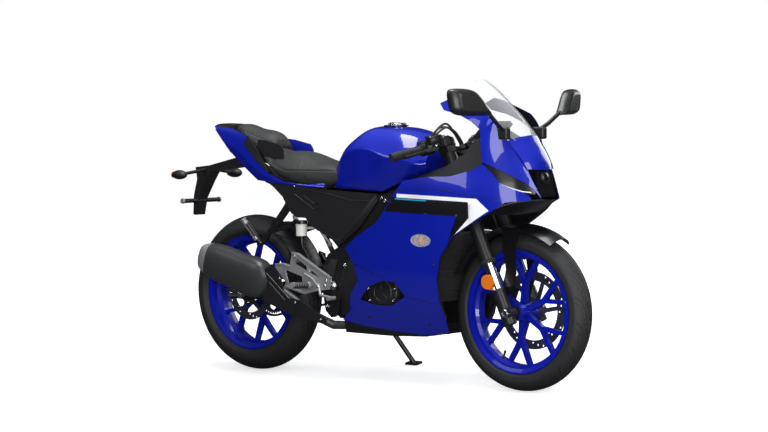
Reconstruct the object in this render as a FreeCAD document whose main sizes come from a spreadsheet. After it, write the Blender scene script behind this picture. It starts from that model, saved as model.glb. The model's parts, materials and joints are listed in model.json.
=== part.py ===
"""A faired 125 cc class sport motorcycle on 17-inch wheels, parked on its side stand.

Millimetres and degrees. The machine is drawn upright: +X forward, +Y to its left,
+Z up, the ground at zero and the middle of the wheelbase near x = 0. Each piece
then leans to the left onto the side stand by its Placement.
"""
import FreeCAD
import Part
import math
import os
import re
import Sketcher
from FreeCAD import Placement, Rotation, Vector

doc = FreeCAD.newDocument("sport_motorcycle")
sheet = doc.addObject("Spreadsheet::Sheet", "sizes")
aliases = []


def sizes(**cells):
    """Put driving dimensions in the sheet, one row each."""
    for alias, number in cells.items():
        aliases.append(alias)
        row = len(aliases)
        sheet.set(f"A{row}", alias)
        sheet.set(f"B{row}", str(number))
        sheet.setAlias(f"B{row}", alias)
    doc.recompute()


def size(alias):
    """One driving dimension, as a number."""
    return float(sheet.get(alias))


def value(expression):
    """A number, or an expression in the sheet's words, as a number."""
    if isinstance(expression, str):
        result = sheet.evalExpression(expression)
        return float(getattr(result, "Value", result))
    return float(expression)


def bound(expression):
    """The same expression as an object of the document reads it."""
    return re.sub(r"[a-z_]+[a-z_0-9]*", lambda word: "sizes." + word.group()
                  if word.group() in aliases else word.group(), expression)


def bind(thing, **properties):
    """Set properties of an object, each from a number or an expression."""
    for name, expression in properties.items():
        if isinstance(expression, str):
            thing.setExpression(name, bound(expression))
        else:
            setattr(thing, name, expression)
    return thing


# Driving dimensions
sizes(rake=24, steer_x=748.8, fork_offset=32, axle_lead=9.6, leg_spacing=190,
      front_tyre_radius=296, front_tyre_width=100, front_crown=52.3,
      rear_tyre_radius=314, rear_tyre_width=140, rear_crown=73.3,
      pivot_x=-148, pivot_z=368, swingarm_length=517.3, lean=10)
sizes(seat_radius=217, flange_radius=230, flange_thick=4, rim_wall=6, well_radius=204,
      front_rim_width=88, rear_rim_width=114, tyre_wall=9, tread_lip=1,
      front_hub_radius=33, front_hub_half=56, rear_hub_radius=44, rear_hub_half=54,
      front_axle_radius=10, rear_axle_radius=9,
      arm_root=13, arm_waist=9, arm_fork=102, arm_crotch=121, arm_end=200, arm_thick=24,
      front_arm_spread=13.3, rear_arm_spread=15, arm_half_angle=1.9,
      front_arm_turn=85, rear_arm_turn=41.5)
sizes(disc_gap=2, front_disc_radius=146, front_disc_inner=112, disc_thick=4.5,
      disc_boss=48, disc_arm=9, rear_disc_radius=110, rear_disc_inner=80,
      sprocket_radius=95, sprocket_thick=6, sprocket_teeth=46, tooth_depth=7)
sizes(stanchion_radius=20.5, outer_tube_radius=27, outer_tube_wall=6, lug_radius=26,
      lug_top=398, lug_drop=42, tube_start=513, tube_top=1012, stanchion_top=900,
      lower_clamp=812, lower_clamp_thick=38, upper_clamp=950, upper_clamp_thick=24,
      clamp_wall=8, stem_radius=14, clip_on=977, clip_on_thick=28, lug_boss_radius=22,
      lug_boss_inner=66, axle_half=122, axle_bore=6)
sizes(bar_radius=11, bar_length=234, grip_radius=16.5, grip_length=118, bar_sweep=19,
      bar_droop=11.5, bar_ahead=2, housing_radius=24, housing_length=52)
sizes(lever_reach=52, lever_length=150, lever_thick=11)
sizes(fender_gap=29, fender_crown=82, fender_half=62, fender_wall=3, fender_start=57,
      fender_sweep=100, stay_inner=69, reflector_radius=27, reflector_thick=7,
      caliper_angle=158, caliper_width=58, hose_radius=4)
sizes(plate_inner=104, plate_outer=130, head_radius=27, head_start=852, head_end=948,
      pivot_hole=10, cross_radius=16)
sizes(spool_radius=4, spool_ahead=52, spool_below=8)
sizes(arm_inner=94, arm_outer=114, axle_slot=9, swing_pivot_radius=24)
sizes(chain_line=84, chain_wide=12, chain_deep=11, drive_sprocket_radius=30, drive_x=-72,
      drive_z=372)
sizes(case_half=128, cover_radius=74, cover_thick=22, cylinder_half=62)
sizes(radiator_thick=30, radiator_half=128)
sizes(pipe_radius=17, silencer_y=-178, silencer_half=42)
sizes(cap_radius=31, cap_thick=9, cap_x=60, cap_knuckle=5, steering_lock=28, tyre_room=6)
sizes(panel_wall=3)
sizes(stand_reach=215, stand_pivot_x=-152, stand_pivot_y=148, stand_pivot_z=244, stand_radius=10,
      foot_length=62, foot_width=44, foot_thick=7, stand_swing=100)


def origin_feature(body, role):
    """An origin plane or axis of a body."""
    return [item for item in body.Origin.OriginFeatures if item.Role == role][0]


def new_body(label):
    """A body for one piece, named after it."""
    return doc.addObject("PartDesign::Body", label)


def sketch(body, plane, points, lift=0):
    """A closed outline on an origin plane of the body, lifted along the plane's normal.

    A point is (across, up), or (across, up, sagitta) where the edge that leaves it is
    an arc that bulges to the left of its direction by the sagitta.
    """
    drawn = body.newObject("Sketcher::SketchObject", body.Name + "_outline")
    drawn.AttachmentSupport = [(origin_feature(body, plane), "")]
    drawn.MapMode = "FlatFace"
    bind(drawn, **{".AttachmentOffset.Base.z": lift} if isinstance(lift, str) else {})
    if not isinstance(lift, str):
        drawn.AttachmentOffset = Placement(Vector(0, 0, lift), Rotation())
    corners = [Vector(value(point[0]), value(point[1]), 0) for point in points]
    ends = []
    for index, point in enumerate(points):
        first, last = corners[index], corners[(index + 1) % len(corners)]
        if len(point) == 2:
            drawn.addGeometry(Part.LineSegment(first, last), False)
            ends.append((1, 2))
            continue
        side = Vector(0, 0, 1).cross(last - first).normalize()
        middle = (first + last) * 0.5 + side * value(point[2])
        drawn.addGeometry(Part.ArcOfCircle(last, middle, first), False)
        ends.append((2, 1))
    for index, point in enumerate(points):
        after = (index + 1) % len(points)
        drawn.addConstraint(Sketcher.Constraint(
            "Coincident", index, ends[index][1], after, ends[after][0]))
        for kind, coordinate in (("DistanceX", 0), ("DistanceY", 1)):
            place = drawn.addConstraint(Sketcher.Constraint(
                kind, -1, 1, index, ends[index][0], corners[index][coordinate]))
            if isinstance(point[coordinate], str):
                drawn.setExpression(f"Constraints[{place}]", bound(point[coordinate]))
        if len(point) == 3:
            across, up = (f"({points[after][axis]} - ({point[axis]}))" for axis in (0, 1))
            sagitta = f"({point[2]})"
            radius = f"({across}^2 + {up}^2) / (8 * {sagitta}) + {sagitta} / 2"
            place = drawn.addConstraint(Sketcher.Constraint("Radius", index, value(radius)))
            drawn.setExpression(f"Constraints[{place}]", bound(radius))
    doc.recompute()
    return drawn


def circle_sketch(body, plane, circles, lift=0):
    """Circles (across, up, radius) on an origin plane of the body."""
    drawn = body.newObject("Sketcher::SketchObject", body.Name + "_circles")
    drawn.AttachmentSupport = [(origin_feature(body, plane), "")]
    drawn.MapMode = "FlatFace"
    if isinstance(lift, str):
        drawn.setExpression(".AttachmentOffset.Base.z", bound(lift))
    else:
        drawn.AttachmentOffset = Placement(Vector(0, 0, lift), Rotation())
    for index, (across, up, radius) in enumerate(circles):
        centre = Vector(value(across), value(up), 0)
        drawn.addGeometry(Part.Circle(centre, Vector(0, 0, 1), value(radius)), False)
        for kind, number, expression in (("DistanceX", centre.x, across),
                                         ("DistanceY", centre.y, up)):
            place = drawn.addConstraint(Sketcher.Constraint(kind, -1, 1, index, 3, number))
            if isinstance(expression, str):
                drawn.setExpression(f"Constraints[{place}]", bound(expression))
        place = drawn.addConstraint(Sketcher.Constraint("Radius", index, value(radius)))
        if isinstance(radius, str):
            drawn.setExpression(f"Constraints[{place}]", bound(radius))
    doc.recompute()
    return drawn


def feature(body, kind, profile, **properties):
    """A feature of the body on a profile, made its tip."""
    made = body.newObject("PartDesign::" + kind, body.Name + "_" + kind.lower())
    made.Profile = profile
    bind(made, **properties)
    body.Tip = made
    doc.recompute()
    return made


def turned(body, kind, profile, axis, angle=360):
    """A revolution or groove about an origin axis of the body."""
    made = body.newObject("PartDesign::" + kind, body.Name + "_" + kind.lower())
    made.Profile = profile
    made.ReferenceAxis = (origin_feature(body, axis), [""])
    bind(made, Angle=angle)
    body.Tip = made
    doc.recompute()
    return made


def ring_pattern(body, originals, axis, count):
    """Copies of features, evenly round an origin axis of the body."""
    made = body.newObject("PartDesign::PolarPattern", body.Name + "_ring")
    made.Originals = originals
    made.Axis = (origin_feature(body, axis), [""])
    made.Angle = 360
    bind(made, Occurrences=count)
    body.Tip = made
    doc.recompute()
    return made


nodes = {}


def node(label, thing, placement=None):
    """Keep a finished piece under the name of its file."""
    thing.Label = label
    if placement is not None:
        thing.Placement = placement
    nodes[label] = thing
    return thing


def shaped(label, shape):
    """A piece whose shape is worked out by Part's own functions."""
    thing = doc.addObject("Part::Feature", label)
    thing.Shape = shape
    return thing


def both_sides(label, right):
    """A right-hand piece and its mirror image on the left, as one node."""
    left = doc.addObject("Part::Mirroring", label + "_left")
    left.Source = right
    left.Normal = Vector(0, 1, 0)
    pair = doc.addObject("Part::Compound", label)
    pair.Links = [right, left]
    doc.recompute()
    return node(label, pair)


def gathered(label, *shapes):
    """Solids that don't touch, kept as one node."""
    return node(label, shaped(label, Part.makeCompound(list(shapes))))


def xz(points, y=0):
    """Points of a side view, at one place across the machine."""
    return [Vector(x, y, z) for x, z in points]


def polygon(points):
    """A flat face inside straight edges."""
    return Part.Face(Part.makePolygon(points + [points[0]]))


def side_prism(points, y_from, y_to):
    """A side-view outline extruded across the machine."""
    return polygon(xz(points, y_from)).extrude(Vector(0, y_to - y_from, 0))


def rod(start, end, radius):
    """A round bar between two points."""
    return Part.makeCylinder(radius, (end - start).Length, start, end - start)


def bent_rod(points, radius):
    """A round bar along straight runs, with a ball at each bend."""
    pieces = [rod(a, b, radius) for a, b in zip(points, points[1:])]
    pieces += [Part.makeSphere(radius, point) for point in points[1:-1]]
    return pieces[0].multiFuse(pieces[1:]).removeSplitter()


def smooth_wire(points):
    """One closed smooth curve through the points."""
    curve = Part.BSplineCurve()
    curve.interpolate(points, PeriodicFlag=True)
    return Part.Wire([curve.toShape()])


def loft(wires, ruled=False):
    """A solid through closed sections."""
    return Part.makeLoft(wires, True, ruled)


def surface(grid, degree=2):
    """A smooth face whose control net is the rows of points."""
    def knots(count):
        spans = count - degree
        return [degree + 1] + [1] * (spans - 1) + [degree + 1], list(range(spans + 1))
    row_mults, row_knots = knots(len(grid))
    point_mults, point_knots = knots(len(grid[0]))
    made = Part.BSplineSurface()
    made.buildFromPolesMultsKnots(grid, row_mults, point_mults, row_knots, point_knots,
                                  False, False, degree, degree)
    return made.toShape()


def ring(points):
    """One closed smooth curve drawn towards the points."""
    curve = Part.BSplineCurve()
    curve.buildFromPoles(points, True, 2)
    return Part.Wire([curve.toShape()])


def even_ring(x, half_points):
    """A closed curve across the machine, from the control points of its right half."""
    right = [Vector(x, -y, z) for y, z in half_points]
    return ring(right + [Vector(x, -point.y, point.z) for point in right[::-1]])


def largest(shape):
    """The largest solid of a cut."""
    return max(shape.Solids, key=lambda solid: solid.Volume)


def mirrored(shape):
    """The other side's copy."""
    return shape.mirror(Vector(0, 0, 0), Vector(0, 1, 0))


# The ground line, the steering and the wheel centres
sizes(running_gap=0.3, wheel_gap=5)

tilt = math.radians(size("rake"))
front_axle = Vector(
    size("steer_x") - size("front_tyre_radius") * math.tan(tilt)
    + (size("fork_offset") + size("axle_lead")) / math.cos(tilt), 0, size("front_tyre_radius"))
rear_drop = size("pivot_z") - size("rear_tyre_radius")
rear_axle = Vector(size("pivot_x") - math.sqrt(size("swingarm_length") ** 2 - rear_drop ** 2),
                   0, size("rear_tyre_radius"))
# The steering frame: its z runs up the steering axis and its x ahead of it
steering = Placement(Vector(size("steer_x"), 0, 0), Rotation(Vector(0, 1, 0), -size("rake")))
at_front = Placement(front_axle, Rotation())
at_rear = Placement(rear_axle, Rotation())
axle_up = steering.inverse().multVec(front_axle).z

# Wheels: tyre, rim with six forked arms, and brake discs


def tyre(label, end, place):
    """A tyre: a round tread, side walls and beads that seat in the rim, hollow inside."""
    radius, width, crown = (f"{end}_tyre_radius", f"{end}_tyre_width", f"{end}_crown")
    half, rim_half = f"({width} / 2 - tread_lip)", f"({end}_rim_width / 2 - flange_thick)"
    drop = f"({crown} - sqrt({crown}^2 - {half}^2))"
    bead = f"({rim_half} - running_gap)"
    right = [(f"-{half}", f"{radius} - {drop}"),
             (f"-{width} / 2", f"{radius} - {drop} - 12"),
             (f"-{bead} - flange_thick * 1.2", "flange_radius + 5"),
             (f"-{bead}", "flange_radius + running_gap"),
             (f"-{bead} + 2", "seat_radius + running_gap"),
             (f"-{bead} + 11", "seat_radius + running_gap"),
             (f"-{bead} + 9", "seat_radius + tyre_wall"),
             (f"-{half} + tyre_wall", f"{radius} - {drop} - 6"),
             (f"-{half} * 0.62", f"{radius} - {drop} * 0.42 - tyre_wall")]
    left = [(f"-1 * ({y})", r) for y, r in right]
    body = new_body(label)
    outline = [right[0] + (drop,)] + left + right[:0:-1]
    turned(body, "Revolution", sketch(body, "YZ_Plane", outline), "Y_Axis")
    return node(label, body, place)


def rim(label, end, place, turn):
    """A cast rim: flanged ring with a dropped centre, hub, and six arms that fork."""
    half, spread = f"{end}_rim_width / 2", value(f"{end}_arm_spread")
    right = [(f"-({half})", "flange_radius"), (f"-({half} - flange_thick)", "flange_radius"),
             (f"-({half} - flange_thick) + 2", "seat_radius"),
             (f"-({half}) * 0.5", "seat_radius - 2"), ("-12", "well_radius")]
    inner = [("-14", "well_radius - rim_wall"), (f"-({half}) * 0.5", "seat_radius - 2 - rim_wall"),
             (f"-({half})  + flange_thick", "seat_radius - rim_wall"),
             (f"-({half})", "flange_radius - rim_wall")]
    outline = right + [(f"-1 * ({y})", r) for y, r in right[::-1]]
    outline += [(f"-1 * ({y})", r) for y, r in inner[::-1]] + inner
    body = new_body(label)
    turned(body, "Revolution", sketch(body, "YZ_Plane", outline), "Y_Axis")
    hub_half, hub_radius = f"{end}_hub_half", f"{end}_hub_radius"
    feature(body, "Pad", circle_sketch(body, "XZ_Plane", [(0, 0, hub_radius)],
                                       f"-{hub_half}"), Length=f"{hub_half} * 2")
    outer, inside = f"({spread} + arm_half_angle)", f"({spread} - arm_half_angle)"
    near = [("arm_waist * 2", "-arm_root"), ("arm_fork", "-arm_waist"),
            (f"arm_end * cos({outer})", f"-arm_end * sin({outer})"),
            (f"arm_end * cos({inside})", f"-arm_end * sin({inside})")]
    far = [(x, f"-1 * ({z})") for x, z in near[::-1]]
    arm = feature(body, "Pad", sketch(body, "XZ_Plane", near + [("arm_crotch", 0)] + far,
                                      "-arm_thick / 2"), Length="arm_thick")
    ring_pattern(body, [arm], "Y_Axis", 6)
    bore = circle_sketch(body, "XZ_Plane", [(0, 0, f"{end}_axle_radius + running_gap")],
                         f"-{hub_half}")
    feature(body, "Pocket", bore, Length=f"{hub_half} * 2", Reversed=True)
    return node(label, body, place.multiply(Placement(Vector(), Rotation(Vector(0, 1, 0), -turn))))


tyre("front_tyre", "front", at_front)
rim("front_rim", "front", at_front, size("front_arm_turn"))
tyre("rear_tyre", "rear", at_rear)
rim("rear_rim", "rear", at_rear, size("rear_arm_turn"))



def brake_disc(label, end, place, face, toward):
    """A drilled disc: braking ring, six arms and the ring that is bolted to the hub."""
    body = new_body(label)
    start = f"{face}" if toward < 0 else f"-({face} + disc_thick)"
    feature(body, "Pad", circle_sketch(body, "XZ_Plane", [
        (0, 0, f"{end}_disc_radius"), (0, 0, f"{end}_disc_inner")], start), Length="disc_thick")
    feature(body, "Pad", circle_sketch(body, "XZ_Plane", [
        (0, 0, "disc_boss"), (0, 0, f"{end}_axle_radius + 12")], start), Length="disc_thick")
    arm = feature(body, "Pad", sketch(body, "XZ_Plane", [
        ("disc_boss - 3", "-disc_arm"), (f"{end}_disc_inner + 3", "disc_arm * 0.6"),
        (f"{end}_disc_inner + 3", "disc_arm * 2.4"), ("disc_boss - 3", "disc_arm")], start),
        Length="disc_thick")
    ring_pattern(body, [arm], "Y_Axis", 6)
    middle = f"({end}_disc_radius + {end}_disc_inner) / 2"
    holes = [(f"({middle} + {step}) * cos({turn})", f"({middle} + {step}) * sin({turn})", 4)
             for step, turn in ((-8, 0), (1, 10), (9, 20))]
    drilled = feature(body, "Pocket", circle_sketch(body, "XZ_Plane", holes, start),
                      Length="disc_thick", Reversed=True)
    ring_pattern(body, [drilled], "Y_Axis", 8)
    return node(label, body, place)


brake_disc("front_brake_disc", "front", at_front, "front_hub_half", 1)
brake_disc("rear_brake_disc", "rear", at_rear, "rear_hub_half", -1)

# The front end, drawn in the steering frame; heights run along the steering axis


def leg(body_label, pieces):
    """Solids about the right-hand fork leg, placed in the steering frame."""
    made = []
    for start, length, outer, inner in pieces:
        tube = Part.makeCylinder(outer, length, Vector(leg_x, -leg_y, start))
        if inner:
            tube = tube.cut(Part.makeCylinder(inner, length, Vector(leg_x, -leg_y, start)))
        made.append(tube)
    whole = made[0].multiFuse(made[1:]).removeSplitter() if len(made) > 1 else made[0]
    return shaped(body_label, whole)


leg_x, leg_y = size("fork_offset"), size("leg_spacing") / 2
lug_radius, lug_top, tube_start = size("lug_radius"), size("lug_top"), size("tube_start")
stanchion, outer_tube = size("stanchion_radius"), size("outer_tube_radius")
lug_base = axle_up - size("lug_drop")
lug = leg("lug", [(lug_base, lug_top - lug_base, lug_radius, 0)]).Shape
boss_length = leg_y - size("lug_boss_inner") + lug_radius * 0.8
boss = Part.makeCylinder(size("lug_boss_radius"), boss_length,
                         Vector(leg_x + size("axle_lead"), -size("lug_boss_inner"), axle_up),
                         Vector(0, -1, 0))
axle_hole = Part.makeCylinder(size("front_axle_radius"), 4 * leg_y,
                              Vector(leg_x + size("axle_lead"), 0, axle_up), Vector(0, -1, 0))
doc.getObject("lug").Shape = lug.fuse(boss).cut(axle_hole).removeSplitter()
lug = doc.getObject("lug").Shape
doc.removeObject("lug")
ear = Part.makeBox(56, 12, 34, Vector(leg_x - 78, size("lug_boss_inner") + 12, axle_up + 22))
gathered("fork_axle_lugs", lug, mirrored(lug).fuse(ear).removeSplitter())
both_sides("fork_stanchions", leg("stanchion", [
    (lug_top, size("stanchion_top") - lug_top, stanchion, stanchion - 3)]))
sleeve = size("tube_top") - tube_start
both_sides("fork_outer_tubes", leg("outer_tube", [
    (tube_start, sleeve, outer_tube, stanchion + size("running_gap")),
    (tube_start, 34, outer_tube + 3, stanchion + size("running_gap")),
    (size("tube_top") - 8, 8, outer_tube - 2, 0)]))


def yoke(label, start, thick, stem):
    """A fork yoke: a plate across both legs with a ring round each, and the stem."""
    ring, spread = "outer_tube_radius + clamp_wall", "leg_spacing / 2"
    body = new_body(label)
    half = [("-26", "-30"), ("fork_offset - 20", f"-({spread} + {ring} - 6)"),
            ("fork_offset + 20", f"-({spread} + {ring} - 6)"),
            (f"fork_offset + {ring}", f"-({spread})"),
            (f"fork_offset + {ring} - 10", f"-({spread} - {ring})"), ("fork_offset - 2", "-24")]
    outline = half + [(x, f"-1 * ({y})") for x, y in half[::-1]]
    feature(body, "Pad", sketch(body, "XY_Plane", outline, start), Length=thick)
    if stem:
        feature(body, "Pad", circle_sketch(body, "XY_Plane", [(0, 0, "stem_radius")],
                                           f"{start} + {thick}"), Length=stem)
    else:
        feature(body, "Pocket", circle_sketch(body, "XY_Plane", [(0, 0, "stem_radius")], start),
                Length=thick, Reversed=True)
    holes = [("fork_offset", f"{side} * leg_spacing / 2", "outer_tube_radius") for side in (-1, 1)]
    feature(body, "Pocket", circle_sketch(body, "XY_Plane", holes, start),
            Length=thick, Reversed=True)
    return node(label, body)


yoke("lower_fork_yoke", "lower_clamp", "lower_clamp_thick",
     "upper_clamp + upper_clamp_thick - lower_clamp - lower_clamp_thick + 4")
yoke("upper_fork_yoke", "upper_clamp", "upper_clamp_thick", None)

axle_place = Vector(leg_x + size("axle_lead"), -size("axle_half"), axle_up)
axle = doc.addObject("Part::Cylinder", "front_axle_bar")
bind(axle, Radius="front_axle_radius", Height="axle_half * 2")
axle.Placement = Placement(axle_place, Rotation(Vector(1, 0, 0), -90))
drilling = doc.addObject("Part::Cylinder", "front_axle_bore")
bind(drilling, Radius="axle_bore", Height="axle_half * 2")
drilling.Placement = axle.Placement
hollow = doc.addObject("Part::Cut", "front_axle")
hollow.Base, hollow.Tool = axle, drilling
doc.recompute()
node("front_axle", hollow)

# Handlebars: clip-on bar, grip, switch housing and lever, all right hand and mirrored
back, droop = math.radians(size("bar_sweep")), math.radians(size("bar_droop"))
bar_way = Vector(-math.sin(back), -math.cos(back) * math.cos(droop), -math.sin(droop))
bar_height = size("clip_on") + size("clip_on_thick") / 2
clamp_centre = Vector(leg_x + size("bar_ahead"), -leg_y, bar_height)
bar_way = steering.Rotation.inverted().multVec(bar_way).normalize()


def along_bar(distance):
    """A point on the right-hand bar, from the middle of its clamp outwards."""
    return clamp_centre + bar_way * distance


def sleeve_on_bar(start, length, outer, inner):
    """A tube round the bar."""
    tube = rod(along_bar(start), along_bar(start + length), outer)
    return tube.cut(rod(along_bar(start), along_bar(start + length), inner)) if inner else tube


bar_radius = size("bar_radius")
clamp = Part.makeCylinder(outer_tube + size("clamp_wall"), size("clip_on_thick"),
                          Vector(leg_x, -leg_y, size("clip_on")))
bar = rod(along_bar(outer_tube + 2), along_bar(size("bar_length")), bar_radius)
fork_space = Part.makeCylinder(outer_tube, size("clip_on_thick") + 60,
                               Vector(leg_x, -leg_y, size("clip_on") - 30))
both_sides("clip_on_bars", shaped("clip_on", clamp.fuse(bar).cut(fork_space).removeSplitter()))
grip_start = size("bar_length") - size("grip_length")
weight = sleeve_on_bar(size("bar_length"), 14, size("grip_radius") - 1, 0)
grip = sleeve_on_bar(grip_start, size("grip_length"), size("grip_radius"), bar_radius)
both_sides("handlebar_grips", shaped("grip", grip.fuse(weight).removeSplitter()))
housing_start = grip_start - size("housing_length")
housing = sleeve_on_bar(housing_start, size("housing_length") - 1, size("housing_radius"), bar_radius)
both_sides("switch_housings", shaped("housing", housing))

# Levers: a perch ahead of the housing and a blade that follows the grip
ahead = Vector(math.cos(math.radians(12)), 0, -math.sin(math.radians(24)))
ahead = (ahead - bar_way * ahead.dot(bar_way)).normalize()
perch_root = along_bar(housing_start + 14) + ahead * (size("housing_radius") - 0.5)
pivot = along_bar(housing_start + 14) + ahead * size("lever_reach")
lever_up = bar_way.cross(ahead).normalize()
perch = rod(perch_root + ahead * 0.5, pivot + ahead * 4, 9)
half_lever = size("lever_thick") / 2
lever_points = [pivot - bar_way * 4 - ahead * 2, pivot + bar_way * 45 - ahead * 4,
                pivot + bar_way * 95 + ahead * 4, pivot + bar_way * size("lever_length") + ahead * 12]


def lever_ring(centre, wide, high):
    """One section of the lever blade, across the bar's direction."""
    corners = [centre + ahead * wide * a + lever_up * high * b
               for a, b in ((1, 0.5), (0.5, 1), (-0.5, 1), (-1, 0.5), (-1, -0.5), (-0.5, -1),
                            (0.5, -1), (1, -0.5))]
    return Part.makePolygon(corners + corners[:1])


blade = loft([lever_ring(centre, half_lever * wide, half_lever * high) for centre, wide, high in
              zip(lever_points, (1.6, 1.3, 1.1, 1.4), (1.5, 1.1, 1, 1.2))], True)
both_sides("hand_levers", shaped("lever", perch.fuse(blade).removeSplitter()))

steering_frame_nodes = [
    "fork_axle_lugs", "fork_stanchions", "fork_outer_tubes", "lower_fork_yoke", "upper_fork_yoke",
    "front_axle", "clip_on_bars", "handlebar_grips", "switch_housings", "hand_levers"]


def round_wheel(label, axle, radius, crown, half, thick, start, sweep):
    """A saddle-shaped guard round a wheel: an arched section swept about the axle.

    The angles run from straight ahead over the top of the wheel.
    """
    def arch(reach, width):
        drop = crown - math.sqrt(crown ** 2 - half ** 2)
        return [Vector(0, -width, reach - drop), Vector(0, 0, reach), Vector(0, width, reach - drop)]
    outer, inner = arch(radius + thick, half), arch(radius, half - thick)
    edges = [Part.Arc(*outer).toShape(), Part.makeLine(outer[2], inner[2]),
             Part.Arc(*inner[::-1]).toShape(), Part.makeLine(inner[0], outer[0])]
    section = Part.Face(Part.Wire(edges))
    section.rotate(Vector(), Vector(0, 1, 0), 90 - start)
    guard = section.revolve(Vector(), Vector(0, 1, 0), -sweep)
    guard.translate(axle)
    return guard


# Front mudguard with its stays, brake caliper, reflectors and hose
fender = round_wheel("fender", front_axle, size("front_tyre_radius") + size("fender_gap"),
                     size("fender_crown"), size("fender_half"), size("fender_wall"),
                     size("fender_start"), size("fender_sweep"))
stay_outline = [(612, 610), (690, 606), (672, 520), (678, 440), (640, 345), (618, 360),
                (632, 450), (618, 540)]
stay_inner = size("stay_inner")
stay = side_prism(stay_outline, -stay_inner, -stay_inner + 4)
web_outline = [(612, 612), (690, 608), (688, 590), (614, 590)]
web = side_prism(web_outline, -stay_inner, -size("fender_half") + size("fender_wall") + 3)
fender = fender.multiFuse([stay, mirrored(stay), web, mirrored(web)]).removeSplitter()
node("front_fender", shaped("front_fender", fender))

leg_way = steering.Rotation.multVec(Vector(0, 0, 1))
caliper_turn = math.radians(size("caliper_angle"))
disc_middle = (size("front_disc_radius") + size("front_disc_inner")) / 2
disc_face = size("front_hub_half")
caliper_centre = front_axle + Vector(math.cos(caliper_turn), 0, math.sin(caliper_turn)) * disc_middle
caliper = Part.makeBox(96, size("caliper_width"), 62, Vector(-48, -22, -26))
caliper = caliper.makeFillet(9, caliper.Edges)
slot = Part.makeBox(200, size("disc_thick") + 6, 82, Vector(-100, -3, -60))
caliper = caliper.cut(slot)
caliper.rotate(Vector(), Vector(0, 1, 0), 90 - size("caliper_angle"))
caliper.translate(caliper_centre + Vector(0, disc_face, 0))
node("front_caliper", shaped("front_caliper", caliper))

reflector_place = Vector(588, -leg_y - stanchion - 5, 410)
bracket = side_prism([(588, 400), (612, 392), (612, 380), (588, 380)],
                     reflector_place.y, reflector_place.y + 14)
bracket = bracket.cut(rod(steering.multVec(Vector(leg_x, -leg_y, lug_top)),
                          steering.multVec(Vector(leg_x, -leg_y, tube_start)), stanchion))
reflector = Part.makeCylinder(size("reflector_radius"), size("reflector_thick"),
                              reflector_place, Vector(0, -1, 0))
both_sides("fork_reflectors", shaped("reflector", reflector.fuse(bracket).removeSplitter()))

radial = Vector(math.cos(caliper_turn), 0, math.sin(caliper_turn))
hose_points = [caliper_centre + radial * 36.2 + Vector(0, disc_face + 14, 0), Vector(546, 76, 470),
               Vector(504, 80, 560), Vector(454, 66, 690), Vector(460, 50, 745)]
outer_tubes = nodes["fork_outer_tubes"].Shape.copy()
outer_tubes.Placement = steering
hose = bent_rod(hose_points, size("hose_radius")).cut(caliper).cut(outer_tubes)
hose = max(hose.Solids, key=lambda solid: solid.Volume)
node("brake_hose", shaped("brake_hose", hose))

# Frame: side plates, spars to the steering head, cross tubes
plate = [(147, 715), (124, 728), (76, 724), (-20, 607), (-114, 527), (-182, 488), (-218, 420),
         (-213, 357), (-196, 268), (-167, 242), (-128, 262), (-113, 388), (-95, 440), (-34, 500),
         (60, 610)]
inner_face, outer_face = size("plate_inner"), size("plate_outer")
side_plate = side_prism(plate, -outer_face, -inner_face)


def rectangle(centre, across, up):
    """A closed four-sided section round a centre."""
    corners = [centre + across + up, centre - across + up, centre - across - up, centre + across - up]
    return Part.makePolygon(corners + corners[:1])


spar = loft([
    rectangle(Vector(95, -117, 690), Vector(0, 13, 0), Vector(0, 0, 32)),
    rectangle(Vector(240, -105, 752), Vector(0, 13, 0), Vector(0, 0, 34)),
    rectangle(Vector(385, -24, 815), Vector(0, 12, 0), Vector(0, 0, 38))], True)
head = Part.makeCylinder(size("head_radius"), size("head_end") - size("head_start"),
                         Vector(0, 0, size("head_start")))
stem_space = Part.makeCylinder(size("stem_radius") + size("running_gap"), 400, Vector(0, 0, 700))
clear_yokes = Part.makeCylinder(150, size("head_start") - 700, Vector(0, 0, 700)).fuse(
    Part.makeCylinder(150, 200, Vector(0, 0, size("head_end"))))
for tool in (head, stem_space, clear_yokes):
    tool.Placement = steering
pivot_height, cross_radius = size("pivot_z"), size("cross_radius")
cross = [rod(Vector(x, -inner_face, z), Vector(x, inner_face, z), cross_radius)
         for x, z in ((110, 700), (-185, 285), (-60, 590))]
pivot_bolt = Part.makeCylinder(size("pivot_hole"), 2 * outer_face,
                               Vector(size("pivot_x"), -outer_face, pivot_height), Vector(0, 1, 0))
frame_shape = side_plate.multiFuse([mirrored(side_plate), spar, mirrored(spar), head] + cross)
frame_shape = frame_shape.cut(stem_space.fuse(clear_yokes)).cut(pivot_bolt).removeSplitter()
pivot_rod = rod(Vector(size("pivot_x"), -outer_face - 8, pivot_height),
                Vector(size("pivot_x"), outer_face + 8, pivot_height), size("pivot_hole"))

# Swingarm: two tapered arms, a brace ahead of the tyre and the pivot tube
arm_inner, arm_outer = size("arm_inner"), size("arm_outer")
rx, rz = rear_axle.x, rear_axle.z
arm_side = [(-238, 394), (-330, 392), (rx + 70, rz + 24), (rx - 45, rz + 24), (rx - 52, rz - 20),
            (rx + 60, rz - 24), (-380, 316), (-238, 336)]
arm = side_prism(arm_side, -arm_outer, -arm_inner)
root = side_prism([(size("pivot_x") + 22, pivot_height - 20), (size("pivot_x") + 22, pivot_height + 20),
                   (-200, 392), (-275, 392), (-275, 340), (-200, 344)],
                  -inner_face + 1, -inner_face + 21)
arm = arm.fuse(root)
brace = side_prism([(-330, 388), (-232, 392), (-232, 345), (-330, 342)],
                   -inner_face + 21, inner_face - 21)
pivot_tube = rod(Vector(size("pivot_x"), -inner_face + 1, pivot_height),
                 Vector(size("pivot_x"), inner_face - 1, pivot_height), size("swing_pivot_radius"))
bolt_space = rod(Vector(size("pivot_x"), -200, pivot_height),
                 Vector(size("pivot_x"), 200, pivot_height), size("pivot_hole"))
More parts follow.
